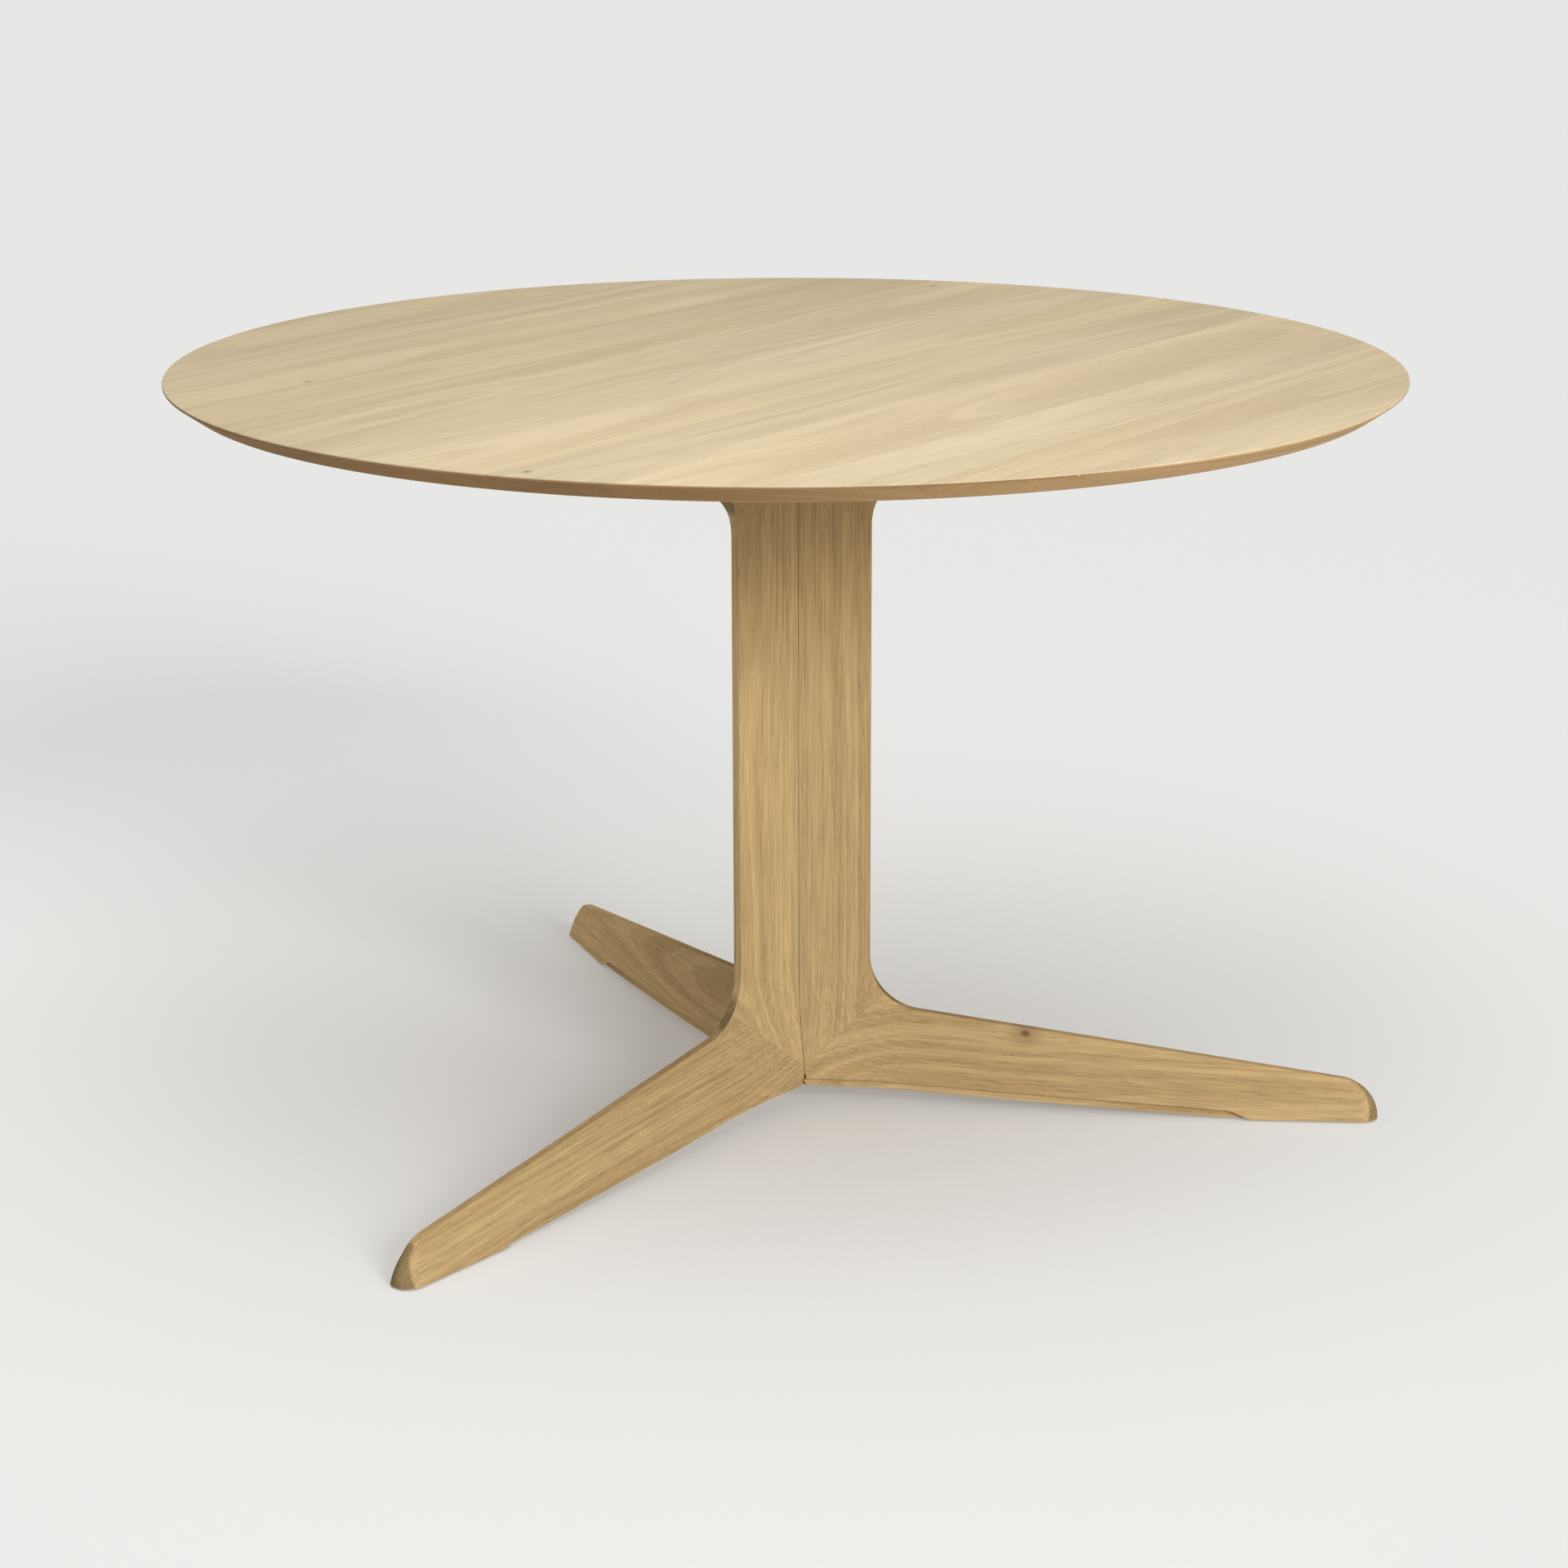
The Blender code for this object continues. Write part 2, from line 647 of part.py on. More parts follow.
def insert(name, place, material):
    bm = bmesh.new()
    bottom = TOP_UNDERSIDE + JOINT_GAP
    top = TOP_UNDERSIDE + INSERT_LENGTH
    sleeve(bm, INSERT_RADIUS, BOLT_RADIUS + JOINT_GAP, bottom, top, BOLT_SEGMENTS, place)
    make_part(name, bm, material)


def bolt_bores(index):
    """Stepped holes in one arm, each wide enough for the head below its seat."""
    wide = BOLT_HEAD_RADIUS + COUNTERBORE_CLEARANCE
    narrow = BOLT_RADIUS + JOINT_GAP
    bottom = TOP_UNDERSIDE - ARM_FILLET_START
    top = TOP_UNDERSIDE + OVERCUT
    profile = (
        (0.0, bottom),
        (wide, bottom),
        (wide, BOLT_SEAT),
        (narrow, BOLT_SEAT),
        (narrow, top),
        (0.0, top),
    )
    bm = bmesh.new()
    for place in bolt_places(index):
        revolve(bm, profile, BOLT_SEGMENTS, place)
    return bm


# ---- blades -----------------------------------------------------------------
def plate_pocket():
    bm = bmesh.new()
    floor = PLATE_TOP - PLATE_THICKNESS - JOINT_GAP
    cylinder(bm, PLATE_RADIUS + JOINT_GAP, floor, BASE_TOP + OVERCUT, PLATE_SEGMENTS, Matrix.Identity(4))
    return bm


def build_column(index, oak):
    column = column_board(index, oak)
    bm = bmesh.new()
    low_tenon(bm, index, JOINT_GAP)
    high_tenon(bm, index, JOINT_GAP)
    cut(column, "column_mortise_cutter_%d" % (index + 1), bm)
    bm = bmesh.new()
    spline(bm, index, JOINT_GAP)
    spline(bm, index - 1, JOINT_GAP)
    cut(column, "column_spline_cutter_%d" % (index + 1), bm)
    cut(column, "column_plate_cutter_%d" % (index + 1), plate_pocket())


def build_leg(index, oak):
    leg = leg_board(index, oak)
    bm = bmesh.new()
    low_tenon(bm, index, JOINT_GAP)
    cut(leg, "leg_mortise_cutter_%d" % (index + 1), bm)
    bm = bmesh.new()
    recess = GLIDE_THICKNESS + JOINT_GAP
    cylinder(bm, GLIDE_RADIUS + JOINT_GAP, -OVERCUT, recess, GLIDE_SEGMENTS, in_blade(index, GLIDE_OUT, 0.0))
    cut(leg, "leg_glide_cutter_%d" % (index + 1), bm)
    bm = bmesh.new()
    skipped = GLIDE_THICKNESS - GLIDE_SCREW_RECESS
    pilot_holes(bm, [glide_screw_place(index)], skipped, GLIDE_SCREW_LENGTH)
    cut(leg, "leg_pilot_cutter_%d" % (index + 1), bm)


def build_arm(index, oak):
    arm = arm_board(index, oak)
    bm = bmesh.new()
    high_tenon(bm, index, JOINT_GAP)
    cut(arm, "arm_mortise_cutter_%d" % (index + 1), bm)
    cut(arm, "arm_plate_cutter_%d" % (index + 1), plate_pocket())
    cut(arm, "arm_bolt_cutter_%d" % (index + 1), bolt_bores(index))
    bm = bmesh.new()
    pilot_holes(bm, [plate_screw_places()[index]], PLATE_THICKNESS, PLATE_SCREW_LENGTH)
    cut(arm, "arm_pilot_cutter_%d" % (index + 1), bm)


# ---- tabletop ---------------------------------------------------------------
def top_profile():
    """From the underside's middle, round the bevelled rim, to the top's middle."""
    edge = TABLE_HEIGHT - RIM_EDGE_HEIGHT
    low = TOP_RADIUS - RIM_BEVEL_INSET
    rise = RIM_BOTTOM_ROUND * (edge - TOP_UNDERSIDE) / RIM_BEVEL_INSET
    return (
        (0.0, TOP_UNDERSIDE),
        (low - RIM_BOTTOM_ROUND, TOP_UNDERSIDE),
        (low, TOP_UNDERSIDE + 0.25 * rise),
        (low + RIM_BOTTOM_ROUND, TOP_UNDERSIDE + rise),
        (TOP_RADIUS, edge),
        (TOP_RADIUS, TABLE_HEIGHT - RIM_ARRIS),
        (TOP_RADIUS - RIM_ARRIS, TABLE_HEIGHT),
        (0.0, TABLE_HEIGHT),
    )


def stave_edges():
    """Offsets of the glue lines across the grain, from rim to rim."""
    widen = 2.0 * TOP_RADIUS / sum(STAVE_WIDTHS)
    edges = [-TOP_RADIUS]
    for width in STAVE_WIDTHS:
        edges.append(edges[-1] + width * widen)
    return edges


def trim_disc(bm, offset, sign):
    """Cuts the disc along a glue line, and closes it there."""
    across = turn_to(GRAIN_BEARING) @ Vector((0.0, sign, 0.0))
    made = bmesh.ops.bisect_plane(
        bm,
        geom=bm.verts[:] + bm.edges[:] + bm.faces[:],
        dist=0.1 * WELD,
        plane_co=across * (sign * offset - HALF_GAP),
        plane_no=across,
        clear_outer=True,
    )
    rim = [item for item in made["geom_cut"] if isinstance(item, bmesh.types.BMEdge)]
    bmesh.ops.contextual_create(bm, geom=rim)


def stave(number, low, high, material):
    """The slice of the disc between two straight glue lines along the grain."""
    bm = bmesh.new()
    revolve(bm, top_profile(), TOP_SEGMENTS, turn_to(GRAIN_BEARING))
    if number > 1:
        trim_disc(bm, low, -1.0)
    if number < len(STAVE_WIDTHS):
        trim_disc(bm, high, 1.0)
    for z in (TOP_UNDERSIDE, TABLE_HEIGHT):
        flat = [face for face in bm.faces if all(abs(vert.co.z - z) < WELD for vert in face.verts)]
        bmesh.ops.dissolve_faces(bm, faces=flat)
    return make_part("top_stave_%02d" % number, bm, material)


def batten_grooves():
    bm = bmesh.new()
    half_length = BATTEN_HALF_LENGTH + JOINT_GAP
    depth = BATTEN_THICKNESS + JOINT_GAP
    for along in (-BATTEN_OFFSET, BATTEN_OFFSET):
        size = (BATTEN_WIDTH + 2.0 * JOINT_GAP, 2.0 * half_length, 2.0 * depth)
        box(bm, size, along_grain(along, 0.0, TOP_UNDERSIDE))
    return bm


def top_holes():
    """Pilot holes for the batten screws, and holes for the threaded inserts."""
    bm = bmesh.new()
    for along in (-BATTEN_OFFSET, BATTEN_OFFSET):
        pilot_holes(bm, batten_screw_places(along), BATTEN_THICKNESS, BATTEN_SCREW_LENGTH)
    top = TOP_UNDERSIDE + INSERT_LENGTH + JOINT_GAP
    for index in range(BLADE_COUNT):
        for place in bolt_places(index):
            cylinder(bm, INSERT_RADIUS + JOINT_GAP, TOP_UNDERSIDE - SEAT_OVERLAP, top, BOLT_SEGMENTS, place)
    return bm


def build_top(oak):
    edges = stave_edges()
    for number, (low, high) in enumerate(zip(edges, edges[1:]), start=1):
        piece = stave(number, low, high, oak)
        if min(abs(low), abs(high)) < BATTEN_HALF_LENGTH:
            cut(piece, "stave_groove_cutter_%02d" % number, batten_grooves())
            cut(piece, "stave_hole_cutter_%02d" % number, top_holes())


# ---- steel parts ------------------------------------------------------------
def build_plate(steel, zinc):
    bm = bmesh.new()
    cylinder(bm, PLATE_RADIUS, PLATE_TOP - PLATE_THICKNESS, PLATE_TOP, PLATE_SEGMENTS, Matrix.Identity(4))
    plate = make_part("hub_tie_plate", bm, steel)
    screw_holes(plate, "plate_hole_cutter", plate_screw_places(), PLATE_SCREW_LENGTH)
    for number, place in enumerate(plate_screw_places(), start=1):
        screw("hub_plate_screw_%d" % number, place, PLATE_SCREW_LENGTH, zinc)


def build_battens(steel, zinc):
    screw_number = 0
    for number, along in enumerate((-BATTEN_OFFSET, BATTEN_OFFSET), start=1):
        bm = bmesh.new()
        size = (BATTEN_WIDTH, 2.0 * BATTEN_HALF_LENGTH, BATTEN_THICKNESS)
        box(bm, size, along_grain(along, 0.0, TOP_UNDERSIDE + 0.5 * BATTEN_THICKNESS))
        batten = make_part("steel_batten_%d" % number, bm, steel)
        places = batten_screw_places(along)
        screw_holes(batten, "batten_hole_cutter_%d" % number, places, BATTEN_SCREW_LENGTH)
        for place in places:
            screw_number += 1
            screw("batten_screw_%d" % screw_number, place, BATTEN_SCREW_LENGTH, zinc)


def build_bolts(zinc):
    number = 0
    for index in range(BLADE_COUNT):
        for place in bolt_places(index):
            number += 1
            bolt("arm_bolt_%d" % number, place, zinc)
            insert("threaded_insert_%d" % number, place, zinc)


# ---- foot glides ------------------------------------------------------------
def build_glide(index, nylon, zinc):
    profile = (
        (0.0, 0.0),
        (GLIDE_RADIUS - GLIDE_EDGE_BREAK, 0.0),
        (GLIDE_RADIUS, GLIDE_EDGE_BREAK),
        (GLIDE_RADIUS, GLIDE_THICKNESS),
        (0.0, GLIDE_THICKNESS),
    )
    centre = in_blade(index, GLIDE_OUT, 0.0)
    bm = bmesh.new()
    revolve(bm, profile, GLIDE_SEGMENTS, centre)
    glide = make_part("foot_glide_%d" % (index + 1), bm, nylon)
    bm = bmesh.new()
    cylinder(bm, SCREW_HEAD_RADIUS + JOINT_GAP, -OVERCUT, GLIDE_SCREW_RECESS, SCREW_SEGMENTS, centre)
    cut(glide, "glide_recess_cutter_%d" % (index + 1), bm)
    place = glide_screw_place(index)
    screw_holes(glide, "glide_hole_cutter_%d" % (index + 1), [place], GLIDE_SCREW_LENGTH)
    screw("glide_screw_%d" % (index + 1), place, GLIDE_SCREW_LENGTH, zinc)


def main():
    clear_scene()
    oak_top = finish("oak_top", (0.62, 0.48, 0.31), 0.5)
    oak_base = finish("oak_base", (0.58, 0.43, 0.25), 0.5)
    beech = finish("beech", (0.66, 0.50, 0.36), 0.6)
    steel = finish("painted_steel", (0.10, 0.10, 0.11), 0.45, 1.0)
    zinc = finish("zinc_steel", (0.62, 0.63, 0.65), 0.3, 1.0)
    nylon = finish("nylon", (0.08, 0.07, 0.06), 0.6)
    build_top(oak_top)
    for index in range(BLADE_COUNT):
        build_column(index, oak_base)
        build_leg(index, oak_base)
        build_arm(index, oak_base)
        build_joinery(index, beech)
        build_glide(index, nylon, zinc)
    build_plate(steel, zinc)
    build_battens(steel, zinc)
    build_bolts(zinc)


main()
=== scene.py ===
import json
import math

import bmesh
import bpy
from mathutils import Matrix, Vector


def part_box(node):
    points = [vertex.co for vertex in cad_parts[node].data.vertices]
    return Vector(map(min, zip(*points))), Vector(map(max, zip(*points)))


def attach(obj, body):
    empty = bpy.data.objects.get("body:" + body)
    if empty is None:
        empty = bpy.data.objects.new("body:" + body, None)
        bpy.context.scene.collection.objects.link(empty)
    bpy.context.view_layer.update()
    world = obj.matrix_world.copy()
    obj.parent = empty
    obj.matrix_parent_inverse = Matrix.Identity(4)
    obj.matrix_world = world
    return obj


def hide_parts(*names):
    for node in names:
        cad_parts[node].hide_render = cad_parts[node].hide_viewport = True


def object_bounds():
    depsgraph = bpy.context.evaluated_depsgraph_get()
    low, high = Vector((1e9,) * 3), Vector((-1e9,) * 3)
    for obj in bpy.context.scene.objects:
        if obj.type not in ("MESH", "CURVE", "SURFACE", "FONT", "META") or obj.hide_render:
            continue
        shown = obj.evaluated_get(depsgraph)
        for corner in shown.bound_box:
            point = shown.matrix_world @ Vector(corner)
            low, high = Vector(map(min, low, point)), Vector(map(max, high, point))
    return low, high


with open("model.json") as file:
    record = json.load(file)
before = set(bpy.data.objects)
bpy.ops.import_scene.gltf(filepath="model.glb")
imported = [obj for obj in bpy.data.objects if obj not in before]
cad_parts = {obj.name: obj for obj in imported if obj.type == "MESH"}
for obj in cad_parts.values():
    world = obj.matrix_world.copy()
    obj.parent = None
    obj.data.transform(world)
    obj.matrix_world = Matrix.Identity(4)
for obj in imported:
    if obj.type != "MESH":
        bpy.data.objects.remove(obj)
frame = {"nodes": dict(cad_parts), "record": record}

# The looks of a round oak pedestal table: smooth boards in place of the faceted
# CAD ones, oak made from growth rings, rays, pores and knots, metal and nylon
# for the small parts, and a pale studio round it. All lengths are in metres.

cad_low, cad_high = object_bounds()
scene = bpy.context.scene

# ---- sizes from the frame ---------------------------------------------------
MOUNTS = {mount["name"]: Vector(mount["pos_m"]) for mount in frame["record"]["mounts"]}
FEET = [MOUNTS["foot_1"], MOUNTS["foot_2"], MOUNTS["foot_3"]]
BLADE_COUNT = len(FEET)
BLADE_BEARINGS = [math.atan2(foot.y, foot.x) for foot in FEET]
TABLE_HEIGHT = cad_high[2]
TOP_RADIUS = 0.5 * (cad_high[0] - cad_low[0])
TOP_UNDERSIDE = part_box("top_stave_01")[0][2]
STAVE_COUNT = sum(name.startswith("top_stave_") for name in frame["nodes"])
GRAIN_BEARING = BLADE_BEARINGS[0] - math.pi
FOOT_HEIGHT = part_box("leg_board_1")[0][2]

# ---- sizes shared with the CAD source ---------------------------------------
MOUNT_TO_TIP = 0.0605
LEG_REACH = FEET[0].xy.length + MOUNT_TO_TIP
COLUMN_REACH = 0.0845
BLADE_EDGE_HALF = 0.0045
BLADE_TAPER = 0.30
FILLET_RADIUS = 0.058
LEG_TAPER = 0.33
LEG_TAPER_BLEND = 0.100
LEG_TOP_AT_FILLET = 0.100
LEG_TOP_AT_NOSE = 0.0437
NOSE_RADIUS = 0.042
NOSE_ROUND_LENGTH = 0.018
NOSE_ROUND_SHARE = 0.96
NOSE_BLEND_TURN = math.radians(34.0)
NOSE_LAST_TURN = math.radians(83.0)
NOSE_FOOT_SHARE = 0.7
UNDERSIDE_AT_AXIS = 0.029
PAD_LENGTH = 0.1515
REBATE_HEIGHT = 0.0085
REBATE_DEPTH = 0.0055
REBATE_FROM_TIP = 0.1245
REBATE_CURVE_LENGTH = 0.030
ARM_FILLET_START = 0.139
ARM_REACH = 0.300
ARM_SLOPE = 0.160
ARM_EDGE_HALF = 0.018
ARM_BLEND_DELAY = math.radians(18.0)
ARM_TAPER = 0.07
ARM_END_ROUND = 0.012
RIM_EDGE_HEIGHT = 0.0025
RIM_BEVEL_INSET = 0.0225
RIM_BOTTOM_ROUND = 0.0022
BOLT_HEAD_HEIGHT = 0.008
BORE_CLEARANCE = 0.0015
SEAT_GAP = 0.0003

# ---- what the visual boards add ---------------------------------------------
GLUE_LINE = 0.00012
GROOVE_CLEARANCE = 0.0008
EDGE_BREAK = 0.0002
WELD_DISTANCE = 1e-6
CUT_TOLERANCE = 1e-7
HUB_JOINT = 0.0005
ARRIS = 0.0009
RIM_ARRIS = 0.0006
TOP_SEGMENTS = 288
BORE_SEGMENTS = 32
FAN_STEPS = 22
COLUMN_STEPS = 10
LEG_STEPS = 12
REBATE_STEPS = 14
NOSE_STEPS = 26
ARM_STEPS = 6
ROUND_STEPS = 6
SIDE_STEPS = 6
DEPTH_ROUNDS = 12
SMOOTH_ANGLE = math.radians(34.0)

HALF_GAP = 0.5 * GLUE_LINE
BASE_TOP = TOP_UNDERSIDE - SEAT_GAP
WEDGE_ANGLE = math.pi / BLADE_COUNT
WEDGE_SLOPE = math.tan(WEDGE_ANGLE)
WEDGE_SETBACK = 0.5 * HUB_JOINT / math.cos(WEDGE_ANGLE)
AXIS_OUT = WEDGE_SETBACK / WEDGE_SLOPE
FILLET_OUT = COLUMN_REACH + FILLET_RADIUS
NOSE_OUT = LEG_REACH - NOSE_RADIUS
LEG_TOP_SLOPE = (LEG_TOP_AT_FILLET - LEG_TOP_AT_NOSE) / (NOSE_OUT - FILLET_OUT)
LEG_TILT = math.atan(LEG_TOP_SLOPE)
ARM_TILT = math.atan(ARM_SLOPE)
LEG_INWARD = (-math.sin(LEG_TILT), -math.cos(LEG_TILT))
ARM_INWARD = (-math.sin(ARM_TILT), math.cos(ARM_TILT))
LEG_FILLET_CENTRE = (FILLET_OUT, LEG_TOP_AT_FILLET + FILLET_RADIUS / math.cos(LEG_TILT))
ARM_FILLET_CENTRE = (FILLET_OUT, TOP_UNDERSIDE - ARM_FILLET_START)
NOSE_CENTRE = (NOSE_OUT, LEG_TOP_AT_NOSE - NOSE_RADIUS / math.cos(LEG_TILT))
UNDERSIDE_SLOPE = (UNDERSIDE_AT_AXIS - FOOT_HEIGHT) / (LEG_REACH - PAD_LENGTH)
REBATE_CURVE_START = LEG_REACH - REBATE_FROM_TIP - REBATE_CURVE_LENGTH
LOW_MITRE = math.atan2(UNDERSIDE_AT_AXIS - LEG_FILLET_CENTRE[1], -FILLET_OUT) + 2.0 * math.pi
HIGH_MITRE = math.atan2(ARM_FILLET_START, -FILLET_OUT)
LEG_FAN_END = 1.5 * math.pi - LEG_TILT
ARM_FAN_END = 0.5 * math.pi + ARM_TILT


# ---- mesh tools -------------------------------------------------------------
def smoothstep(value):
    value = min(1.0, max(0.0, value))
    return value * value * (3.0 - 2.0 * value)


def steps(first, last, count):
    return [first + (last - first) * step / count for step in range(count + 1)]


def quarter_turns(count):
    return steps(0.0, 0.5 * math.pi, count)


def turn_to(bearing):
    return Matrix.Rotation(bearing, 4, "Z")


def face_outwards(bm):
    bmesh.ops.recalc_face_normals(bm, faces=bm.faces)
    if bm.calc_volume(signed=True) < 0.0:
        bmesh.ops.reverse_faces(bm, faces=bm.faces)


def link_object(name, bm):
    face_outwards(bm)
    mesh = bpy.data.meshes.new(name)
    bm.to_mesh(mesh)
    bm.free()
    obj = bpy.data.objects.new(name, mesh)
    scene.collection.objects.link(obj)
    return obj


def carve(obj, bm):
    """Takes the shape in bm out of the object, for good."""
    cutter = link_object("carve_cutter", bm)
    modifier = obj.modifiers.new("carve", "BOOLEAN")
    modifier.operation = "DIFFERENCE"
    modifier.solver = "EXACT"
    modifier.object = cutter
    bpy.context.view_layer.update()
    carved = bpy.data.meshes.new_from_object(obj.evaluated_get(bpy.context.evaluated_depsgraph_get()))
    obj.modifiers.remove(modifier)
    obj.data = carved
    bpy.data.objects.remove(cutter, do_unlink=True)


def finish_piece(obj, node, material):
    """Even shading, the material, and the piece's place in the frame."""
    mesh = obj.data
    mesh.materials.clear()
    mesh.materials.append(material)
    for polygon in mesh.polygons:
        polygon.use_smooth = len(polygon.vertices) <= 4
    mesh.set_sharp_from_angle(angle=SMOOTH_ANGLE)
    normals = obj.modifiers.new("even_normals", "WEIGHTED_NORMAL")
    normals.keep_sharp = True
    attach(obj, "root")
    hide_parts(node)


def loft(bm, rings):
    """Joins rings of points into one closed skin with a cap at each end."""
    rows = [[bm.verts.new(point) for point in ring] for ring in rings]
    count = len(rows[0])
    for first, second in zip(rows, rows[1:]):
        for i in range(count):
            j = (i + 1) % count
            bm.faces.new((first[i], first[j], second[j], second[i]))
    bm.faces.new(rows[0])
    bm.faces.new(rows[-1])
    bmesh.ops.remove_doubles(bm, verts=bm.verts, dist=WELD_DISTANCE)
    bmesh.ops.dissolve_degenerate(bm, edges=bm.edges, dist=WELD_DISTANCE)


def circle_of_verts(bm, radius, z, count):
    row = []
    for i in range(count):
        turn = 2.0 * math.pi * i / count
        row.append(bm.verts.new((radius * math.cos(turn), radius * math.sin(turn), z)))
    return row


def revolve(bm, profile, segments):
    """Turns a profile of (radius, z) points, closed by a flat cap at each end."""
    rows = [circle_of_verts(bm, radius, z, segments) for radius, z in profile]
    for first, second in zip(rows, rows[1:]):
        for i in range(segments):
            j = (i + 1) % segments
            bm.faces.new((first[i], first[j], second[j], second[i]))
    bm.faces.new(rows[0])
    bm.faces.new(rows[-1])


# ---- boards of the blades ---------------------------------------------------
def wedge_limit(out):
    return max(0.0, WEDGE_SLOPE * out - WEDGE_SETBACK)


def valley_depth(start, inward, edge_half, taper):
    rise = WEDGE_SLOPE * start[0] - WEDGE_SETBACK - edge_half
    return rise / (taper - WEDGE_SLOPE * inward[0])


def ring_from_side(side_points, bearing):
    turn = turn_to(bearing)
    left = [turn @ Vector((out, side, z)) for out, side, z in side_points]
    right = [turn @ Vector((out, -side, z)) for out, side, z in reversed(side_points)]
    return left + right


def arris_levels():
    """Depths below a blade's edge, and how far its rounded arris cuts back at each."""
    turns = quarter_turns(ROUND_STEPS)
    return [(ARRIS * (1.0 - math.cos(turn)), ARRIS * (1.0 - math.sin(turn))) for turn in turns]


def plain_slice(start, inward, end_depth, edge_half, taper):
    """Points down one side of a column or arm slice: arris, face, valley, back."""
    valley = min(valley_depth(start, inward, edge_half, taper), end_depth)
    levels = arris_levels() + [(valley, 0.0), (end_depth, 0.0)]
    points = []
    for depth, cut_back in levels:
        out = start[0] + inward[0] * depth
        half = edge_half + taper * depth - cut_back
        points.append((out, min(half, wedge_limit(out)), start[1] + inward[1] * depth))
    return points


def fan_line(centre, angle, shift):
    away = (math.cos(angle), math.sin(angle))
    out = centre[0] + away[0] * FILLET_RADIUS - away[1] * shift
    z = centre[1] + away[1] * FILLET_RADIUS + away[0] * shift
    return (out, z), away


def arm_blend(angle):
    first = math.pi - ARM_BLEND_DELAY
    return smoothstep((first - angle) / (first - ARM_FAN_END))


def arm_edge_half(angle):
    return BLADE_EDGE_HALF + (ARM_EDGE_HALF - BLADE_EDGE_HALF) * arm_blend(angle)


def arm_taper(angle):
    return BLADE_TAPER + (ARM_TAPER - BLADE_TAPER) * arm_blend(angle)


def column_rings(bearing):
    rings = []

    def add(start, inward, edge_half, taper):
        end_depth = (AXIS_OUT - start[0]) / inward[0]
        rings.append(ring_from_side(plain_slice(start, inward, end_depth, edge_half, taper), bearing))

    for angle in steps(LOW_MITRE, math.pi, FAN_STEPS):
        start, away = fan_line(LEG_FILLET_CENTRE, angle, -HALF_GAP if angle == LOW_MITRE else 0.0)
        add(start, away, BLADE_EDGE_HALF, BLADE_TAPER)
    for height in steps(LEG_FILLET_CENTRE[1], ARM_FILLET_CENTRE[1], COLUMN_STEPS)[1:-1]:
        add((COLUMN_REACH, height), (-1.0, 0.0), BLADE_EDGE_HALF, BLADE_TAPER)
    for angle in steps(math.pi, HIGH_MITRE, FAN_STEPS):
        start, away = fan_line(ARM_FILLET_CENTRE, angle, HALF_GAP if angle == HIGH_MITRE else 0.0)
        add(start, away, arm_edge_half(angle), arm_taper(angle))
    return rings


def leg_top(out):
    return LEG_TOP_AT_FILLET - LEG_TOP_SLOPE * (out - FILLET_OUT)


def leg_bottom(out):
    return max(FOOT_HEIGHT, UNDERSIDE_AT_AXIS - UNDERSIDE_SLOPE * out)


def leg_ledge(out):
    fade = 1.0 - smoothstep((out - REBATE_CURVE_START) / REBATE_CURVE_LENGTH)
    return leg_bottom(out) + REBATE_HEIGHT * fade


def depth_to(start, inward, height_at):
    """How far along inward a slice meets a height that itself depends on the reach."""
    depth = 0.0
    for _ in range(DEPTH_ROUNDS):
        depth = (start[1] - height_at(start[0] + inward[0] * depth)) / -inward[1]
    return max(0.0, depth)


def leg_taper(out):
    return BLADE_TAPER + (LEG_TAPER - BLADE_TAPER) * smoothstep((out - FILLET_OUT) / LEG_TAPER_BLEND)


def rounded_half(half, depth, length, width):
    """Half-thickness near an edge with an elliptical round of that length and width."""
    if depth >= length:
        return half
    return half - width + width * math.sqrt(1.0 - (1.0 - depth / length) ** 2)


def leg_slice(start, inward, taper):
    """Points down one side of a leg slice, with the rebate along its foot."""
    end = depth_to(start, inward, leg_bottom)
    ledge = min(end, depth_to(start, inward, leg_ledge))

    def point(depth, cut_back):
        out = start[0] + inward[0] * depth
        half = BLADE_EDGE_HALF + taper * depth - cut_back
        return (out, min(half, wedge_limit(out)), start[1] + inward[1] * depth)

    valley = valley_depth(start, inward, BLADE_EDGE_HALF, taper)
    low_valley = valley_depth(start, inward, BLADE_EDGE_HALF - REBATE_DEPTH, taper)
    points = [point(depth, cut_back) for depth, cut_back in arris_levels()]
    lowest = max(2.0 * ARRIS, min(valley, ledge))
    for share in steps(0.0, 1.0, SIDE_STEPS)[1:]:
        points.append(point(ARRIS + (lowest - ARRIS) * share, 0.0))
    points.append(point(ledge, 0.0))
    points.append(point(ledge, REBATE_DEPTH))
    points.append(point(max(ledge, min(low_valley, end)), REBATE_DEPTH))
    points.append(point(end, REBATE_DEPTH))
    return points


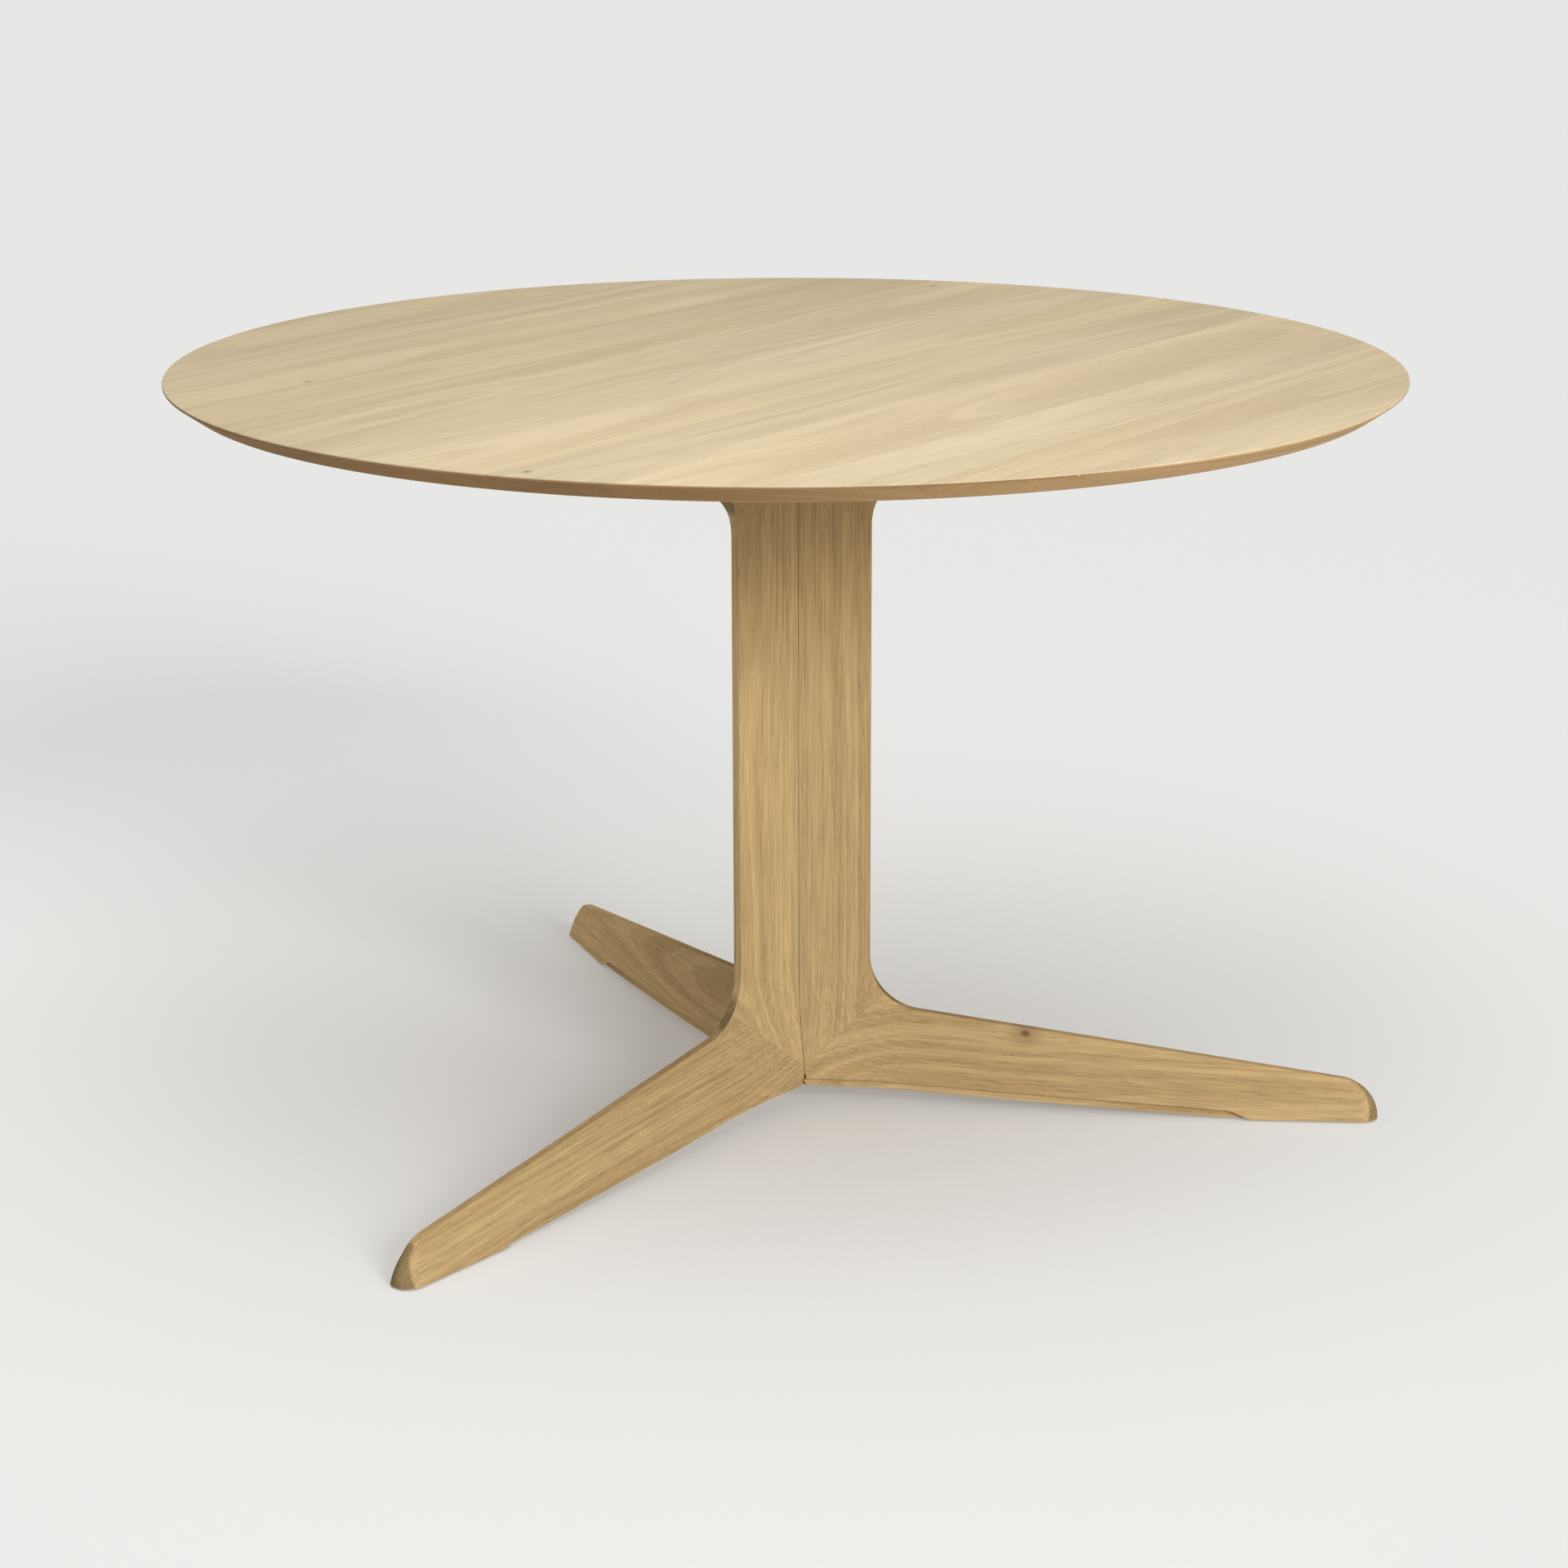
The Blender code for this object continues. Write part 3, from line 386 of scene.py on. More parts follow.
def nose_slice(turn):
    """Points down one side of an upright slice, at a turn from the nose's crown."""
    out = NOSE_OUT + NOSE_RADIUS * math.sin(turn)
    top = NOSE_CENTRE[1] + NOSE_RADIUS * math.cos(turn)
    blend = smoothstep((turn - LEG_TILT) / NOSE_BLEND_TURN)
    length = ARRIS + blend * (NOSE_ROUND_LENGTH - ARRIS)
    points = []
    for share in steps(0.0, 1.0, ROUND_STEPS + SIDE_STEPS + 1):
        z = top + (FOOT_HEIGHT - top) * share * share
        half = BLADE_EDGE_HALF + LEG_TAPER * (leg_top(out) - z) * math.cos(LEG_TILT)
        width = ARRIS + blend * (NOSE_ROUND_SHARE * half - ARRIS)
        from_arc = NOSE_RADIUS - math.hypot(out - NOSE_OUT, z - NOSE_CENTRE[1])
        from_tip = NOSE_OUT + math.sqrt(NOSE_RADIUS ** 2 - (z - NOSE_CENTRE[1]) ** 2) - out
        depth = max(0.0, from_arc + blend * (from_tip - from_arc))
        points.append((out, rounded_half(half, depth, length, width), z))
    foot = (out, NOSE_FOOT_SHARE * points[-1][1], FOOT_HEIGHT)
    return points + [foot, foot, foot]


def leg_rings(bearing):
    rings = []

    def add(start, inward, taper):
        rings.append(ring_from_side(leg_slice(start, inward, taper), bearing))

    for angle in steps(LOW_MITRE, LEG_FAN_END, FAN_STEPS):
        start, away = fan_line(LEG_FILLET_CENTRE, angle, HALF_GAP if angle == LOW_MITRE else 0.0)
        add(start, away, BLADE_TAPER)
    first = LEG_FILLET_CENTRE[0] + LEG_INWARD[0] * FILLET_RADIUS
    curve_end = REBATE_CURVE_START + REBATE_CURVE_LENGTH
    lean = leg_top(curve_end) * LEG_TOP_SLOPE
    stations = steps(first, REBATE_CURVE_START + lean, LEG_STEPS)[1:-1]
    stations += steps(REBATE_CURVE_START + lean, curve_end + lean, REBATE_STEPS)
    for out in stations:
        add((out, leg_top(out)), LEG_INWARD, leg_taper(out))
    for turn in steps(LEG_TILT, NOSE_LAST_TURN, NOSE_STEPS):
        rings.append(ring_from_side(nose_slice(turn), bearing))
    return rings


def arm_rings(bearing):
    rings = []

    def add(start, inward, edge_half, taper):
        end_depth = (BASE_TOP - start[1]) / inward[1]
        rings.append(ring_from_side(plain_slice(start, inward, end_depth, edge_half, taper), bearing))

    for angle in steps(HIGH_MITRE, ARM_FAN_END, FAN_STEPS):
        start, away = fan_line(ARM_FILLET_CENTRE, angle, -HALF_GAP if angle == HIGH_MITRE else 0.0)
        add(start, away, arm_edge_half(angle), arm_taper(angle))
    first = ARM_FILLET_CENTRE[0] + ARM_INWARD[0] * FILLET_RADIUS
    first_z = ARM_FILLET_CENTRE[1] + ARM_INWARD[1] * FILLET_RADIUS
    for turn in quarter_turns(ARM_STEPS):
        out = ARM_REACH - ARM_END_ROUND * (1.0 - math.sin(turn))
        lift = ARM_END_ROUND * (1.0 - math.cos(turn))
        z = first_z + ARM_SLOPE * (out - first) + lift
        add((out, z), ARM_INWARD, ARM_EDGE_HALF + ARM_TAPER * lift, ARM_TAPER)
    return rings


# ---- node trees -------------------------------------------------------------
class Shader:
    """Short calls that add nodes to one material."""

    def __init__(self, name):
        self.material = bpy.data.materials.new(name)
        self.material.use_nodes = True
        self.tree = self.material.node_tree
        self.surface = self.tree.nodes["Principled BSDF"]

    def feed(self, socket, value):
        if isinstance(value, bpy.types.NodeSocket):
            self.tree.links.new(value, socket)
        else:
            socket.default_value = value

    def node(self, kind, inputs=(), **settings):
        made = self.tree.nodes.new(kind)
        for key, value in settings.items():
            setattr(made, key, value)
        for key, value in dict(inputs).items():
            self.feed(made.inputs[key], value)
        return made

    def math(self, operation, *values):
        return self.node("ShaderNodeMath", enumerate(values), operation=operation).outputs[0]

    def add(self, first, second):
        return self.math("ADD", first, second)

    def times(self, first, second):
        return self.math("MULTIPLY", first, second)

    def vector(self, operation, *values):
        made = self.node("ShaderNodeVectorMath", enumerate(values), operation=operation)
        return made.outputs["Value" if operation in ("LENGTH", "DOT_PRODUCT") else "Vector"]

    def combine(self, x, y, z):
        return self.node("ShaderNodeCombineXYZ", enumerate((x, y, z))).outputs[0]

    def noise(self, point, scale, seed, detail=2.0, roughness=0.5):
        """Noise whose grain is 1/scale metres along each axis."""
        place = self.vector("MULTIPLY_ADD", point, scale, (seed, 1.7 * seed, 2.3 * seed))
        inputs = {"Vector": place, "Scale": 1.0, "Detail": detail, "Roughness": roughness}
        return self.node("ShaderNodeTexNoise", inputs).outputs[0]

    def ramp(self, value, low, high, to_low=0.0, to_high=1.0):
        """A smooth step from one level to another as value goes from low to high."""
        inputs = enumerate((value, low, high, to_low, to_high))
        return self.node("ShaderNodeMapRange", inputs, interpolation_type="SMOOTHSTEP").outputs[0]

    def mix(self, factor, first, second, blend="MIX"):
        inputs = {0: factor, 6: first, 7: second}
        return self.node("ShaderNodeMix", inputs, data_type="RGBA", blend_type=blend).outputs[2]

    def bump(self, height, distance, strength=1.0):
        inputs = {"Height": height, "Distance": distance, "Strength": strength}
        return self.node("ShaderNodeBump", inputs).outputs[0]

    def object_point(self):
        return self.node("ShaderNodeTexCoord").outputs["Object"]


def rgb(red, green, blue):
    return (red, green, blue, 1.0)


def grey(level):
    return rgb(level, level, level)


# ---- oak --------------------------------------------------------------------
# Which of a point's axes run along the grain, across it and through the board.
LYING_FLAT = (0, 1, 2)
ON_EDGE = (0, 2, 1)
UPRIGHT = (2, 0, 1)

# Painted shade for the top's rim and underside: the tints that darken them, on side grain and on end grain,
# and the height over which the tint fades in.
RIM_SHADE_SIDE = rgb(0.82, 0.65, 0.47)
RIM_SHADE_END = rgb(0.58, 0.42, 0.28)
RIM_SHADE_BLEND = 0.0008
KNOT_COLOUR = rgb(0.130, 0.068, 0.032)
GRAIN_ALONG_SHARE = 0.32
HEART_ALONG_SHARE = 0.62
KNOT_THROUGH_SHARE = 0.25


class OakLook:
    """Colours and strengths of one batch of oak."""

    def __init__(self, light, dark, ring, fibre, pore, roughness, end_grain, end_facing):
        self.light = light
        self.dark = dark
        self.ring = ring
        self.fibre = fibre
        self.pore = pore
        self.roughness = roughness
        self.end_grain = end_grain
        self.end_facing = end_facing


TOP_OAK = OakLook(
    light=rgb(0.620, 0.508, 0.333),
    dark=rgb(0.475, 0.372, 0.228),
    ring=0.55,
    fibre=0.07,
    pore=0.16,
    roughness=0.66,
    end_grain=0.20,
    end_facing=0.58,
)
BASE_OAK = OakLook(
    light=rgb(0.520, 0.364, 0.172),
    dark=rgb(0.300, 0.188, 0.078),
    ring=0.46,
    fibre=0.20,
    pore=0.34,
    roughness=0.62,
    end_grain=0.47,
    end_facing=0.55,
)


def board_point(shader, bearing, tilt, order):
    """The point in the board's own axes: along the grain, across it, and through."""
    point = shader.object_point()
    for rotation in ((0.0, 0.0, -bearing), (0.0, tilt, 0.0)):
        point = shader.node("ShaderNodeMapping", {"Vector": point, "Rotation": rotation}).outputs[0]
    parts = shader.node("ShaderNodeSeparateXYZ", {0: point}).outputs
    return shader.combine(*[parts[axis] for axis in order])


def grain_direction(bearing, tilt, order):
    """The world direction of the grain, for the same turns as board_point."""
    axis = Vector([1.0 if place == order[0] else 0.0 for place in range(3)])
    return Matrix.Rotation(bearing, 3, "Z") @ Matrix.Rotation(-tilt, 3, "Y") @ axis


def knot_distance(shader, offset, radius, along_share):
    """Distance from a knot in its own radii, with a smaller share of it along the grain."""
    scale = (along_share / radius, 1.0 / radius, KNOT_THROUGH_SHARE / radius)
    return shader.vector("LENGTH", shader.vector("MULTIPLY", offset, scale))


def bend_round_knots(shader, point, knots):
    """Lines of grain part round each knot. Returns the bent point and the knots' darkness."""
    darkness = 0.0
    for along, across, through, radius in knots:
        offset = shader.vector("SUBTRACT", point, (along, across, through))
        pull = shader.ramp(knot_distance(shader, offset, radius, GRAIN_ALONG_SHARE), 0.4, 3.6, 0.88, 0.0)
        back_across = shader.vector("MULTIPLY", offset, (0.0, -1.0, 0.0))
        point = shader.vector("MULTIPLY_ADD", back_across, pull, point)
        from_heart = knot_distance(shader, offset, radius, HEART_ALONG_SHARE)
        core = shader.ramp(from_heart, 0.15, 1.1, 1.0, 0.0)
        halo = shader.ramp(from_heart, 0.5, 2.6, 0.38, 0.0)
        darkness = shader.add(darkness, shader.math("MAXIMUM", core, halo))
    return point, darkness


def oak(
    name, look, bearing, tilt, order, seed, pith,
    tone_and_painted_light=rgb(1.0, 1.0, 1.0), knots=(), ray=0.03, painted_shade_below=None,
):
    """Oak with growth rings about a pith line at (across, through) metres.

    Below the given height the wood is painted darker and browner: painted shade for the rim's bevel and the
    underside, which face down and get only bounced light.
    """
    shader = Shader(name)
    point = board_point(shader, bearing, tilt, order)
    point, darkness = bend_round_knots(shader, point, knots)
    sway = shader.noise(point, (1.6, 7.0, 7.0), seed, 1.0)
    ripple = shader.noise(point, (11.0, 70.0, 70.0), seed + 3.1, 1.0)
    broad_shift = shader.times(shader.add(sway, -0.5), 0.020)
    fine_shift = shader.times(shader.add(ripple, -0.5), 0.0016)
    shift = shader.add(broad_shift, fine_shift)
    from_pith = shader.vector("SUBTRACT", point, (0.0, *pith))
    from_pith = shader.vector("ADD", from_pith, shader.combine(0.0, shift, shift))
    age = shader.vector("LENGTH", shader.vector("MULTIPLY", from_pith, (0.0, 1.0, 1.0)))
    along = shader.vector("DOT_PRODUCT", point, (1.0, 0.0, 0.0))
    ring_point = shader.combine(along, age, 0.0)
    wide_rings = shader.noise(ring_point, (0.9, 95.0, 0.0), seed + 5.3, 2.0, 0.6)
    fine_rings = shader.noise(ring_point, (1.8, 420.0, 0.0), seed + 7.9, 2.0, 0.65)
    rings = shader.add(shader.times(wide_rings, 0.45), shader.times(fine_rings, 0.55))
    late = shader.ramp(rings, 0.38, 0.62)
    fibre = shader.noise(point, (15.0, 640.0, 640.0), seed + 11.0, 3.0, 0.75)
    pore_noise = shader.noise(point, (48.0, 1150.0, 1150.0), seed + 13.0, 1.0, 0.5)
    pores = shader.times(shader.ramp(pore_noise, 0.60, 0.76), shader.ramp(late, 0.15, 0.9, 0.35, 1.0))
    ray_noise = shader.noise(point, (620.0, 85.0, 420.0), seed + 17.0, 1.0, 0.5)
    ray_patches = shader.ramp(shader.noise(point, (14.0, 40.0, 40.0), seed + 23.0, 1.0), 0.42, 0.60)
    rays = shader.times(shader.ramp(ray_noise, 0.60, 0.70), ray_patches)
    broad = shader.noise(point, (1.1, 10.0, 10.0), seed + 19.0, 2.0, 0.5)

    colour = shader.mix(shader.times(late, look.ring), look.light, look.dark)
    # The tone multiplies the colour: each board's own tone, plus painted shade on the back-left staves and
    # painted fill light on the back leg.
    colour = shader.mix(1.0, colour, tone_and_painted_light, "MULTIPLY")
    blotch = shader.ramp(broad, 0.25, 0.75, 1.0, 0.90)
    streak = shader.ramp(fibre, 0.25, 0.75, 1.0 + look.fibre, 1.0 - look.fibre)
    fleck = shader.ramp(rays, 0.0, 1.0, 1.0, 1.0 + ray)
    hollow = shader.ramp(pores, 0.0, 1.0, 1.0, 1.0 - look.pore)
    shade = shader.times(shader.times(blotch, streak), shader.times(fleck, hollow))
    normal = shader.node("ShaderNodeNewGeometry").outputs["Normal"]
    facing = shader.vector("DOT_PRODUCT", normal, tuple(grain_direction(bearing, tilt, order)))
    end_grain = shader.ramp(shader.math("ABSOLUTE", facing), 0.30, look.end_facing, 0.0, 1.0)
    shade = shader.times(shade, shader.ramp(end_grain, 0.0, 1.0, 1.0, 1.0 - look.end_grain))
    colour = shader.mix(1.0, colour, shader.combine(shade, shade, shade), "MULTIPLY")
    # Painted shade: the rim and underside are tinted darker and browner, as they face down and get only
    # bounced light.
    if painted_shade_below is not None:
        level = shader.vector("DOT_PRODUCT", shader.object_point(), (0.0, 0.0, 1.0))
        rim_shade_mask = shader.ramp(level, painted_shade_below - RIM_SHADE_BLEND, painted_shade_below, 1.0, 0.0)
        rim_shade_tint = shader.mix(end_grain, RIM_SHADE_SIDE, RIM_SHADE_END)
        colour = shader.mix(rim_shade_mask, colour, shader.mix(1.0, colour, rim_shade_tint, "MULTIPLY"))
    if knots:
        colour = shader.mix(shader.math("MINIMUM", darkness, 0.92), colour, KNOT_COLOUR)
    shader.feed(shader.surface.inputs["Base Color"], colour)

    rough = shader.add(shader.times(pores, 0.16), shader.times(fibre, 0.12))
    rough = shader.add(rough, shader.times(end_grain, 0.12))
    shader.feed(shader.surface.inputs["Roughness"], shader.add(rough, look.roughness - 0.06))
    raised = shader.add(shader.times(fibre, 0.25), shader.times(late, 0.12))
    height = shader.add(shader.times(pores, -0.8), raised)
    shader.feed(shader.surface.inputs["Normal"], shader.bump(height, 0.00022, 0.7))
    shader.surface.inputs["Specular IOR Level"].default_value = 0.10
    return shader.material


# ---- other materials --------------------------------------------------------
def beech(name, bearing, tilt, order, seed):
    shader = Shader(name)
    point = board_point(shader, bearing, tilt, order)
    fibre = shader.noise(point, (9.0, 700.0, 700.0), seed, 3.0, 0.6)
    flecks = shader.ramp(shader.noise(point, (260.0, 1500.0, 300.0), seed + 4.0, 1.0), 0.60, 0.70)
    colour = shader.mix(shader.ramp(fibre, 0.3, 0.7), rgb(0.70, 0.52, 0.36), rgb(0.58, 0.40, 0.26))
    colour = shader.mix(shader.times(flecks, 0.45), colour, rgb(0.40, 0.24, 0.14))
    shader.feed(shader.surface.inputs["Base Color"], colour)
    shader.feed(shader.surface.inputs["Roughness"], shader.ramp(fibre, 0.2, 0.8, 0.52, 0.66))
    shader.feed(shader.surface.inputs["Normal"], shader.bump(fibre, 0.0001, 0.5))
    return shader.material


def powder_coat(name):
    shader = Shader(name)
    point = shader.object_point()
    peel = shader.noise(point, (900.0, 900.0, 900.0), 2.0, 3.0, 0.55)
    dust = shader.noise(point, (28.0, 28.0, 28.0), 5.0, 4.0, 0.6)
    scuffs = shader.ramp(shader.noise(point, (60.0, 900.0, 300.0), 8.0, 2.0, 0.7), 0.66, 0.74)
    colour = shader.mix(shader.ramp(dust, 0.35, 0.7), rgb(0.030, 0.031, 0.034), rgb(0.050, 0.051, 0.054))
    colour = shader.mix(shader.times(scuffs, 0.5), colour, rgb(0.14, 0.14, 0.145))
    shader.feed(shader.surface.inputs["Base Color"], colour)
    shader.feed(shader.surface.inputs["Roughness"], shader.ramp(dust, 0.3, 0.7, 0.36, 0.50))
    shader.feed(shader.surface.inputs["Normal"], shader.bump(peel, 0.00012, 0.6))
    return shader.material


def zinc_plate(name):
    shader = Shader(name)
    point = shader.object_point()
    cloud = shader.noise(point, (160.0, 160.0, 160.0), 3.0, 4.0, 0.6)
    lines = shader.noise(point, (300.0, 300.0, 5200.0), 6.0, 2.0, 0.6)
    colour = shader.mix(shader.ramp(cloud, 0.3, 0.7), rgb(0.60, 0.61, 0.64), rgb(0.50, 0.49, 0.44))
    shader.feed(shader.surface.inputs["Base Color"], colour)
    shader.surface.inputs["Metallic"].default_value = 1.0
    shader.feed(shader.surface.inputs["Roughness"], shader.ramp(cloud, 0.3, 0.7, 0.26, 0.42))
    shader.feed(shader.surface.inputs["Normal"], shader.bump(lines, 0.00004, 0.5))
    return shader.material


def nylon(name):
    shader = Shader(name)
    point = shader.object_point()
    grain = shader.noise(point, (2600.0, 2600.0, 2600.0), 4.0, 2.0, 0.6)
    wear = shader.noise(point, (220.0, 900.0, 220.0), 7.0, 3.0, 0.65)
    colour = shader.mix(shader.ramp(wear, 0.45, 0.72), rgb(0.028, 0.024, 0.021), rgb(0.085, 0.078, 0.070))
    shader.feed(shader.surface.inputs["Base Color"], colour)
    shader.feed(shader.surface.inputs["Roughness"], shader.ramp(wear, 0.3, 0.7, 0.48, 0.68))
    shader.feed(shader.surface.inputs["Normal"], shader.bump(grain, 0.00008, 0.5))
    return shader.material


def studio_floor(name):
    shader = Shader(name)
    shader.surface.inputs["Base Color"].default_value = rgb(0.56, 0.56, 0.55)
    shader.surface.inputs["Roughness"].default_value = 1.0
    shader.surface.inputs["Specular IOR Level"].default_value = 0.0
    shader.surface.inputs["Emission Color"].default_value = rgb(1.0, 1.0, 0.985)
    shader.surface.inputs["Emission Strength"].default_value = 0.215
    return shader.material


# ---- tabletop ---------------------------------------------------------------
def local_box(node, bearing):
    """A CAD node's lowest and highest corners, in axes turned to the bearing."""
    turn = turn_to(-bearing)
    points = [turn @ vertex.co for vertex in frame["nodes"][node].data.vertices]
    low = Vector([min(point[axis] for point in points) for axis in range(3)])
    high = Vector([max(point[axis] for point in points) for axis in range(3)])
    return low, high


def top_profile():
    """From the underside, round the bevelled rim, to the top."""
    edge = TABLE_HEIGHT - RIM_EDGE_HEIGHT
    low = TOP_RADIUS - RIM_BEVEL_INSET
    rise = RIM_BOTTOM_ROUND * (edge - TOP_UNDERSIDE) / RIM_BEVEL_INSET
    points = []
    for t in steps(0.0, 1.0, 4):
        points.append((low - RIM_BOTTOM_ROUND + 2.0 * RIM_BOTTOM_ROUND * t, TOP_UNDERSIDE + rise * t * t))
    points.append((TOP_RADIUS - EDGE_BREAK, edge - 0.5 * EDGE_BREAK))
    points.append((TOP_RADIUS, edge + 1.5 * EDGE_BREAK))
    for turn in quarter_turns(3):
        radius = TOP_RADIUS - RIM_ARRIS * (1.0 - math.cos(turn))
        points.append((radius, TABLE_HEIGHT - RIM_ARRIS * (1.0 - math.sin(turn))))
    return points


def trim_disc(bm, offset, sign):
    """Cuts the disc along a glue line, and closes it there."""
    across = turn_to(GRAIN_BEARING) @ Vector((0.0, sign, 0.0))
    made = bmesh.ops.bisect_plane(
        bm,
        geom=bm.verts[:] + bm.edges[:] + bm.faces[:],
        dist=CUT_TOLERANCE,
        plane_co=across * (sign * offset - HALF_GAP),
        plane_no=across,
        clear_outer=True,
    )
    rim = [item for item in made["geom_cut"] if isinstance(item, bmesh.types.BMEdge)]
    bmesh.ops.contextual_create(bm, geom=rim)


def batten_grooves():
    bm = bmesh.new()
    for number in (1, 2):
        low, high = local_box("steel_batten_%d" % number, GRAIN_BEARING)
        middle = 0.5 * (low + high)
        middle.z = low.z
        width = high.x - low.x + GROOVE_CLEARANCE
        length = high.y - low.y + GROOVE_CLEARANCE
        size = (width, length, 2.0 * (high.z - low.z) + GROOVE_CLEARANCE)
        made = bmesh.ops.create_cube(bm, size=1.0)
        place = turn_to(GRAIN_BEARING) @ Matrix.Translation(middle) @ Matrix.Diagonal((*size, 1.0))
        bmesh.ops.transform(bm, matrix=place, verts=made["verts"])
    return bm


# Each stave's own tone, with painted shade on top: staves 8 to 12, towards the back left, are darker, as the
# top falls darker away from the front-right light.
STAVE_TONES_AND_SHADE = (1.02, 1.01, 1.02, 1.05, 0.985, 1.0, 1.01, 0.940, 0.905, 0.945, 0.920, 0.93)
STAVE_WARMTH = (0.0, 1.0, -0.6, 0.4, -0.5, 0.7, -1.0, 0.2, 1.0, 0.3, -0.4, 0.5)
# Each knot is its place along, across and through the board, and its radius.
TOP_KNOTS = ((-0.34, 0.315, 0.760, 0.0022), (-0.56, -0.14, 0.760, 0.0028), (0.527, 0.18, 0.760, 0.0022))


def stave_material(number, middle):
    tone_and_painted_light = STAVE_TONES_AND_SHADE[number - 1]
    warmth = 0.012 * STAVE_WARMTH[number - 1]
    colour = rgb(tone_and_painted_light * (1.0 + warmth), tone_and_painted_light, tone_and_painted_light * (1.0 - 1.5 * warmth))
    knots = [knot for knot in TOP_KNOTS if abs(knot[1] - middle) < 0.09]
    lean = 0.035 * math.sin(2.4 * number)
    pith = (middle + lean, TOP_UNDERSIDE - 0.16 - 0.05 * math.cos(1.7 * number))
    return oak(
        "oak_top_%02d" % number, TOP_OAK, GRAIN_BEARING, 0.0, LYING_FLAT, 4.7 * number,
        pith, colour, knots, painted_shade_below=TABLE_HEIGHT - RIM_ARRIS,
    )


def build_top():
    for number in range(1, STAVE_COUNT + 1):
        node = "top_stave_%02d" % number
        low, high = local_box(node, GRAIN_BEARING)
        bm = bmesh.new()
        revolve(bm, top_profile(), TOP_SEGMENTS)
        if number > 1:
            trim_disc(bm, low.y, -1.0)
        if number < STAVE_COUNT:
            trim_disc(bm, high.y, 1.0)
        piece = link_object("oak_stave_%02d" % number, bm)
        carve(piece, batten_grooves())
        finish_piece(piece, node, stave_material(number, 0.5 * (low.y + high.y)))


# ---- pedestal ---------------------------------------------------------------
# One entry for each blade. Piths are across and through the board.
COLUMN_TONES = (0.95, 0.91, 1.0)
COLUMN_PITHS = ((0.13, 0.10), (-0.16, 0.03), (-0.10, 0.08))
COLUMN_KNOTS = (((0.175, 0.023, 0.0, 0.0020),), (), ())
# Leg tones are partly each board's own tone and partly painted light: the back leg, which sits in shade, is
# made 1.36 times brighter as painted fill.
LEG_TONES_AND_FILL = (0.84, 0.96, 1.36)
LEG_RAYS = (0.22, 0.05, 0.05)
LEG_PITHS = ((0.02, 0.10), (-0.03, 0.10), (0.12, 0.09))
LEG_KNOTS = ((), ((0.238, 0.097, 0.0, 0.0062),), ())
ARM_PITH = (0.65, 0.10)


def bolt_bores(index):
    """The wide lower part of each bolt's hole in one arm."""
    bm = bmesh.new()
    for number in (2 * index + 1, 2 * index + 2):
        low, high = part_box("arm_bolt_%d" % number)
        centre = Vector((0.5 * (low[0] + high[0]), 0.5 * (low[1] + high[1]), 0.0))
        radius = 0.5 * (high[0] - low[0]) + BORE_CLEARANCE
        bottom = low[2] - ARM_FILLET_START
        depth = low[2] + BOLT_HEAD_HEIGHT - bottom
        hole = bmesh.ops.create_cone(
            bm, cap_ends=True, segments=BORE_SEGMENTS, radius1=radius, radius2=radius, depth=depth
        )
        centre.z = bottom + 0.5 * depth
        bmesh.ops.translate(bm, vec=centre, verts=hole["verts"])
    return bm


def build_blade(index):
    bearing = BLADE_BEARINGS[index]
    number = index + 1
    bm = bmesh.new()
    loft(bm, column_rings(bearing))
    column = link_object("oak_column_%d" % number, bm)
    material = oak(
        "oak_column_%d" % number, BASE_OAK, bearing, 0.0, UPRIGHT, 31.0 + 9.0 * index,
        pith=COLUMN_PITHS[index], tone_and_painted_light=grey(COLUMN_TONES[index]), knots=COLUMN_KNOTS[index],
    )
    finish_piece(column, "column_board_%d" % number, material)

    bm = bmesh.new()
    loft(bm, leg_rings(bearing))
    leg = link_object("oak_leg_%d" % number, bm)
    material = oak(
        "oak_leg_%d" % number, BASE_OAK, bearing, -0.5 * LEG_TILT, ON_EDGE, 63.0 + 9.0 * index,
        pith=LEG_PITHS[index], tone_and_painted_light=grey(LEG_TONES_AND_FILL[index]), knots=LEG_KNOTS[index], ray=LEG_RAYS[index],
    )
    finish_piece(leg, "leg_board_%d" % number, material)

    bm = bmesh.new()
    loft(bm, arm_rings(bearing))
    arm = link_object("oak_arm_%d" % number, bm)
    carve(arm, bolt_bores(index))
    material = oak(
        "oak_arm_%d" % number, BASE_OAK, bearing, 0.0, ON_EDGE, 97.0 + 9.0 * index, pith=ARM_PITH
    )
    finish_piece(arm, "arm_board_%d" % number, material)


# ---- parts that keep their CAD shape ----------------------------------------
def dress_cad_parts():
    steel = powder_coat("black_powder_coat")
    zinc = zinc_plate("zinc_plate")
    plastic = nylon("dark_nylon")
    for name, obj in frame["nodes"].items():
        if name.startswith(("hub_tie_plate", "steel_batten")):
            material = steel
        elif "screw" in name or "bolt" in name or "insert" in name:
            material = zinc
        elif name.startswith("foot_glide"):
            material = plastic
        elif "tenon" in name or "spline" in name:
            index = int(name[-1]) - 1
            material = beech("beech_" + name, BLADE_BEARINGS[index], 0.0, UPRIGHT, 3.0 * index + len(name))
        else:
            continue
        for slot in obj.material_slots:
            slot.material = material


# ---- studio -----------------------------------------------------------------
FLOOR_HALF = 60.0
CAMERA_PLACE = Vector((0.0, -3.556, 1.351))
CAMERA_PITCH = math.radians(-15.93)
CAMERA_ROLL = math.radians(-0.12)
CAMERA_LENS = 84.45
CAMERA_SHIFT_X = -0.0017
CAMERA_SENSOR = 36.0


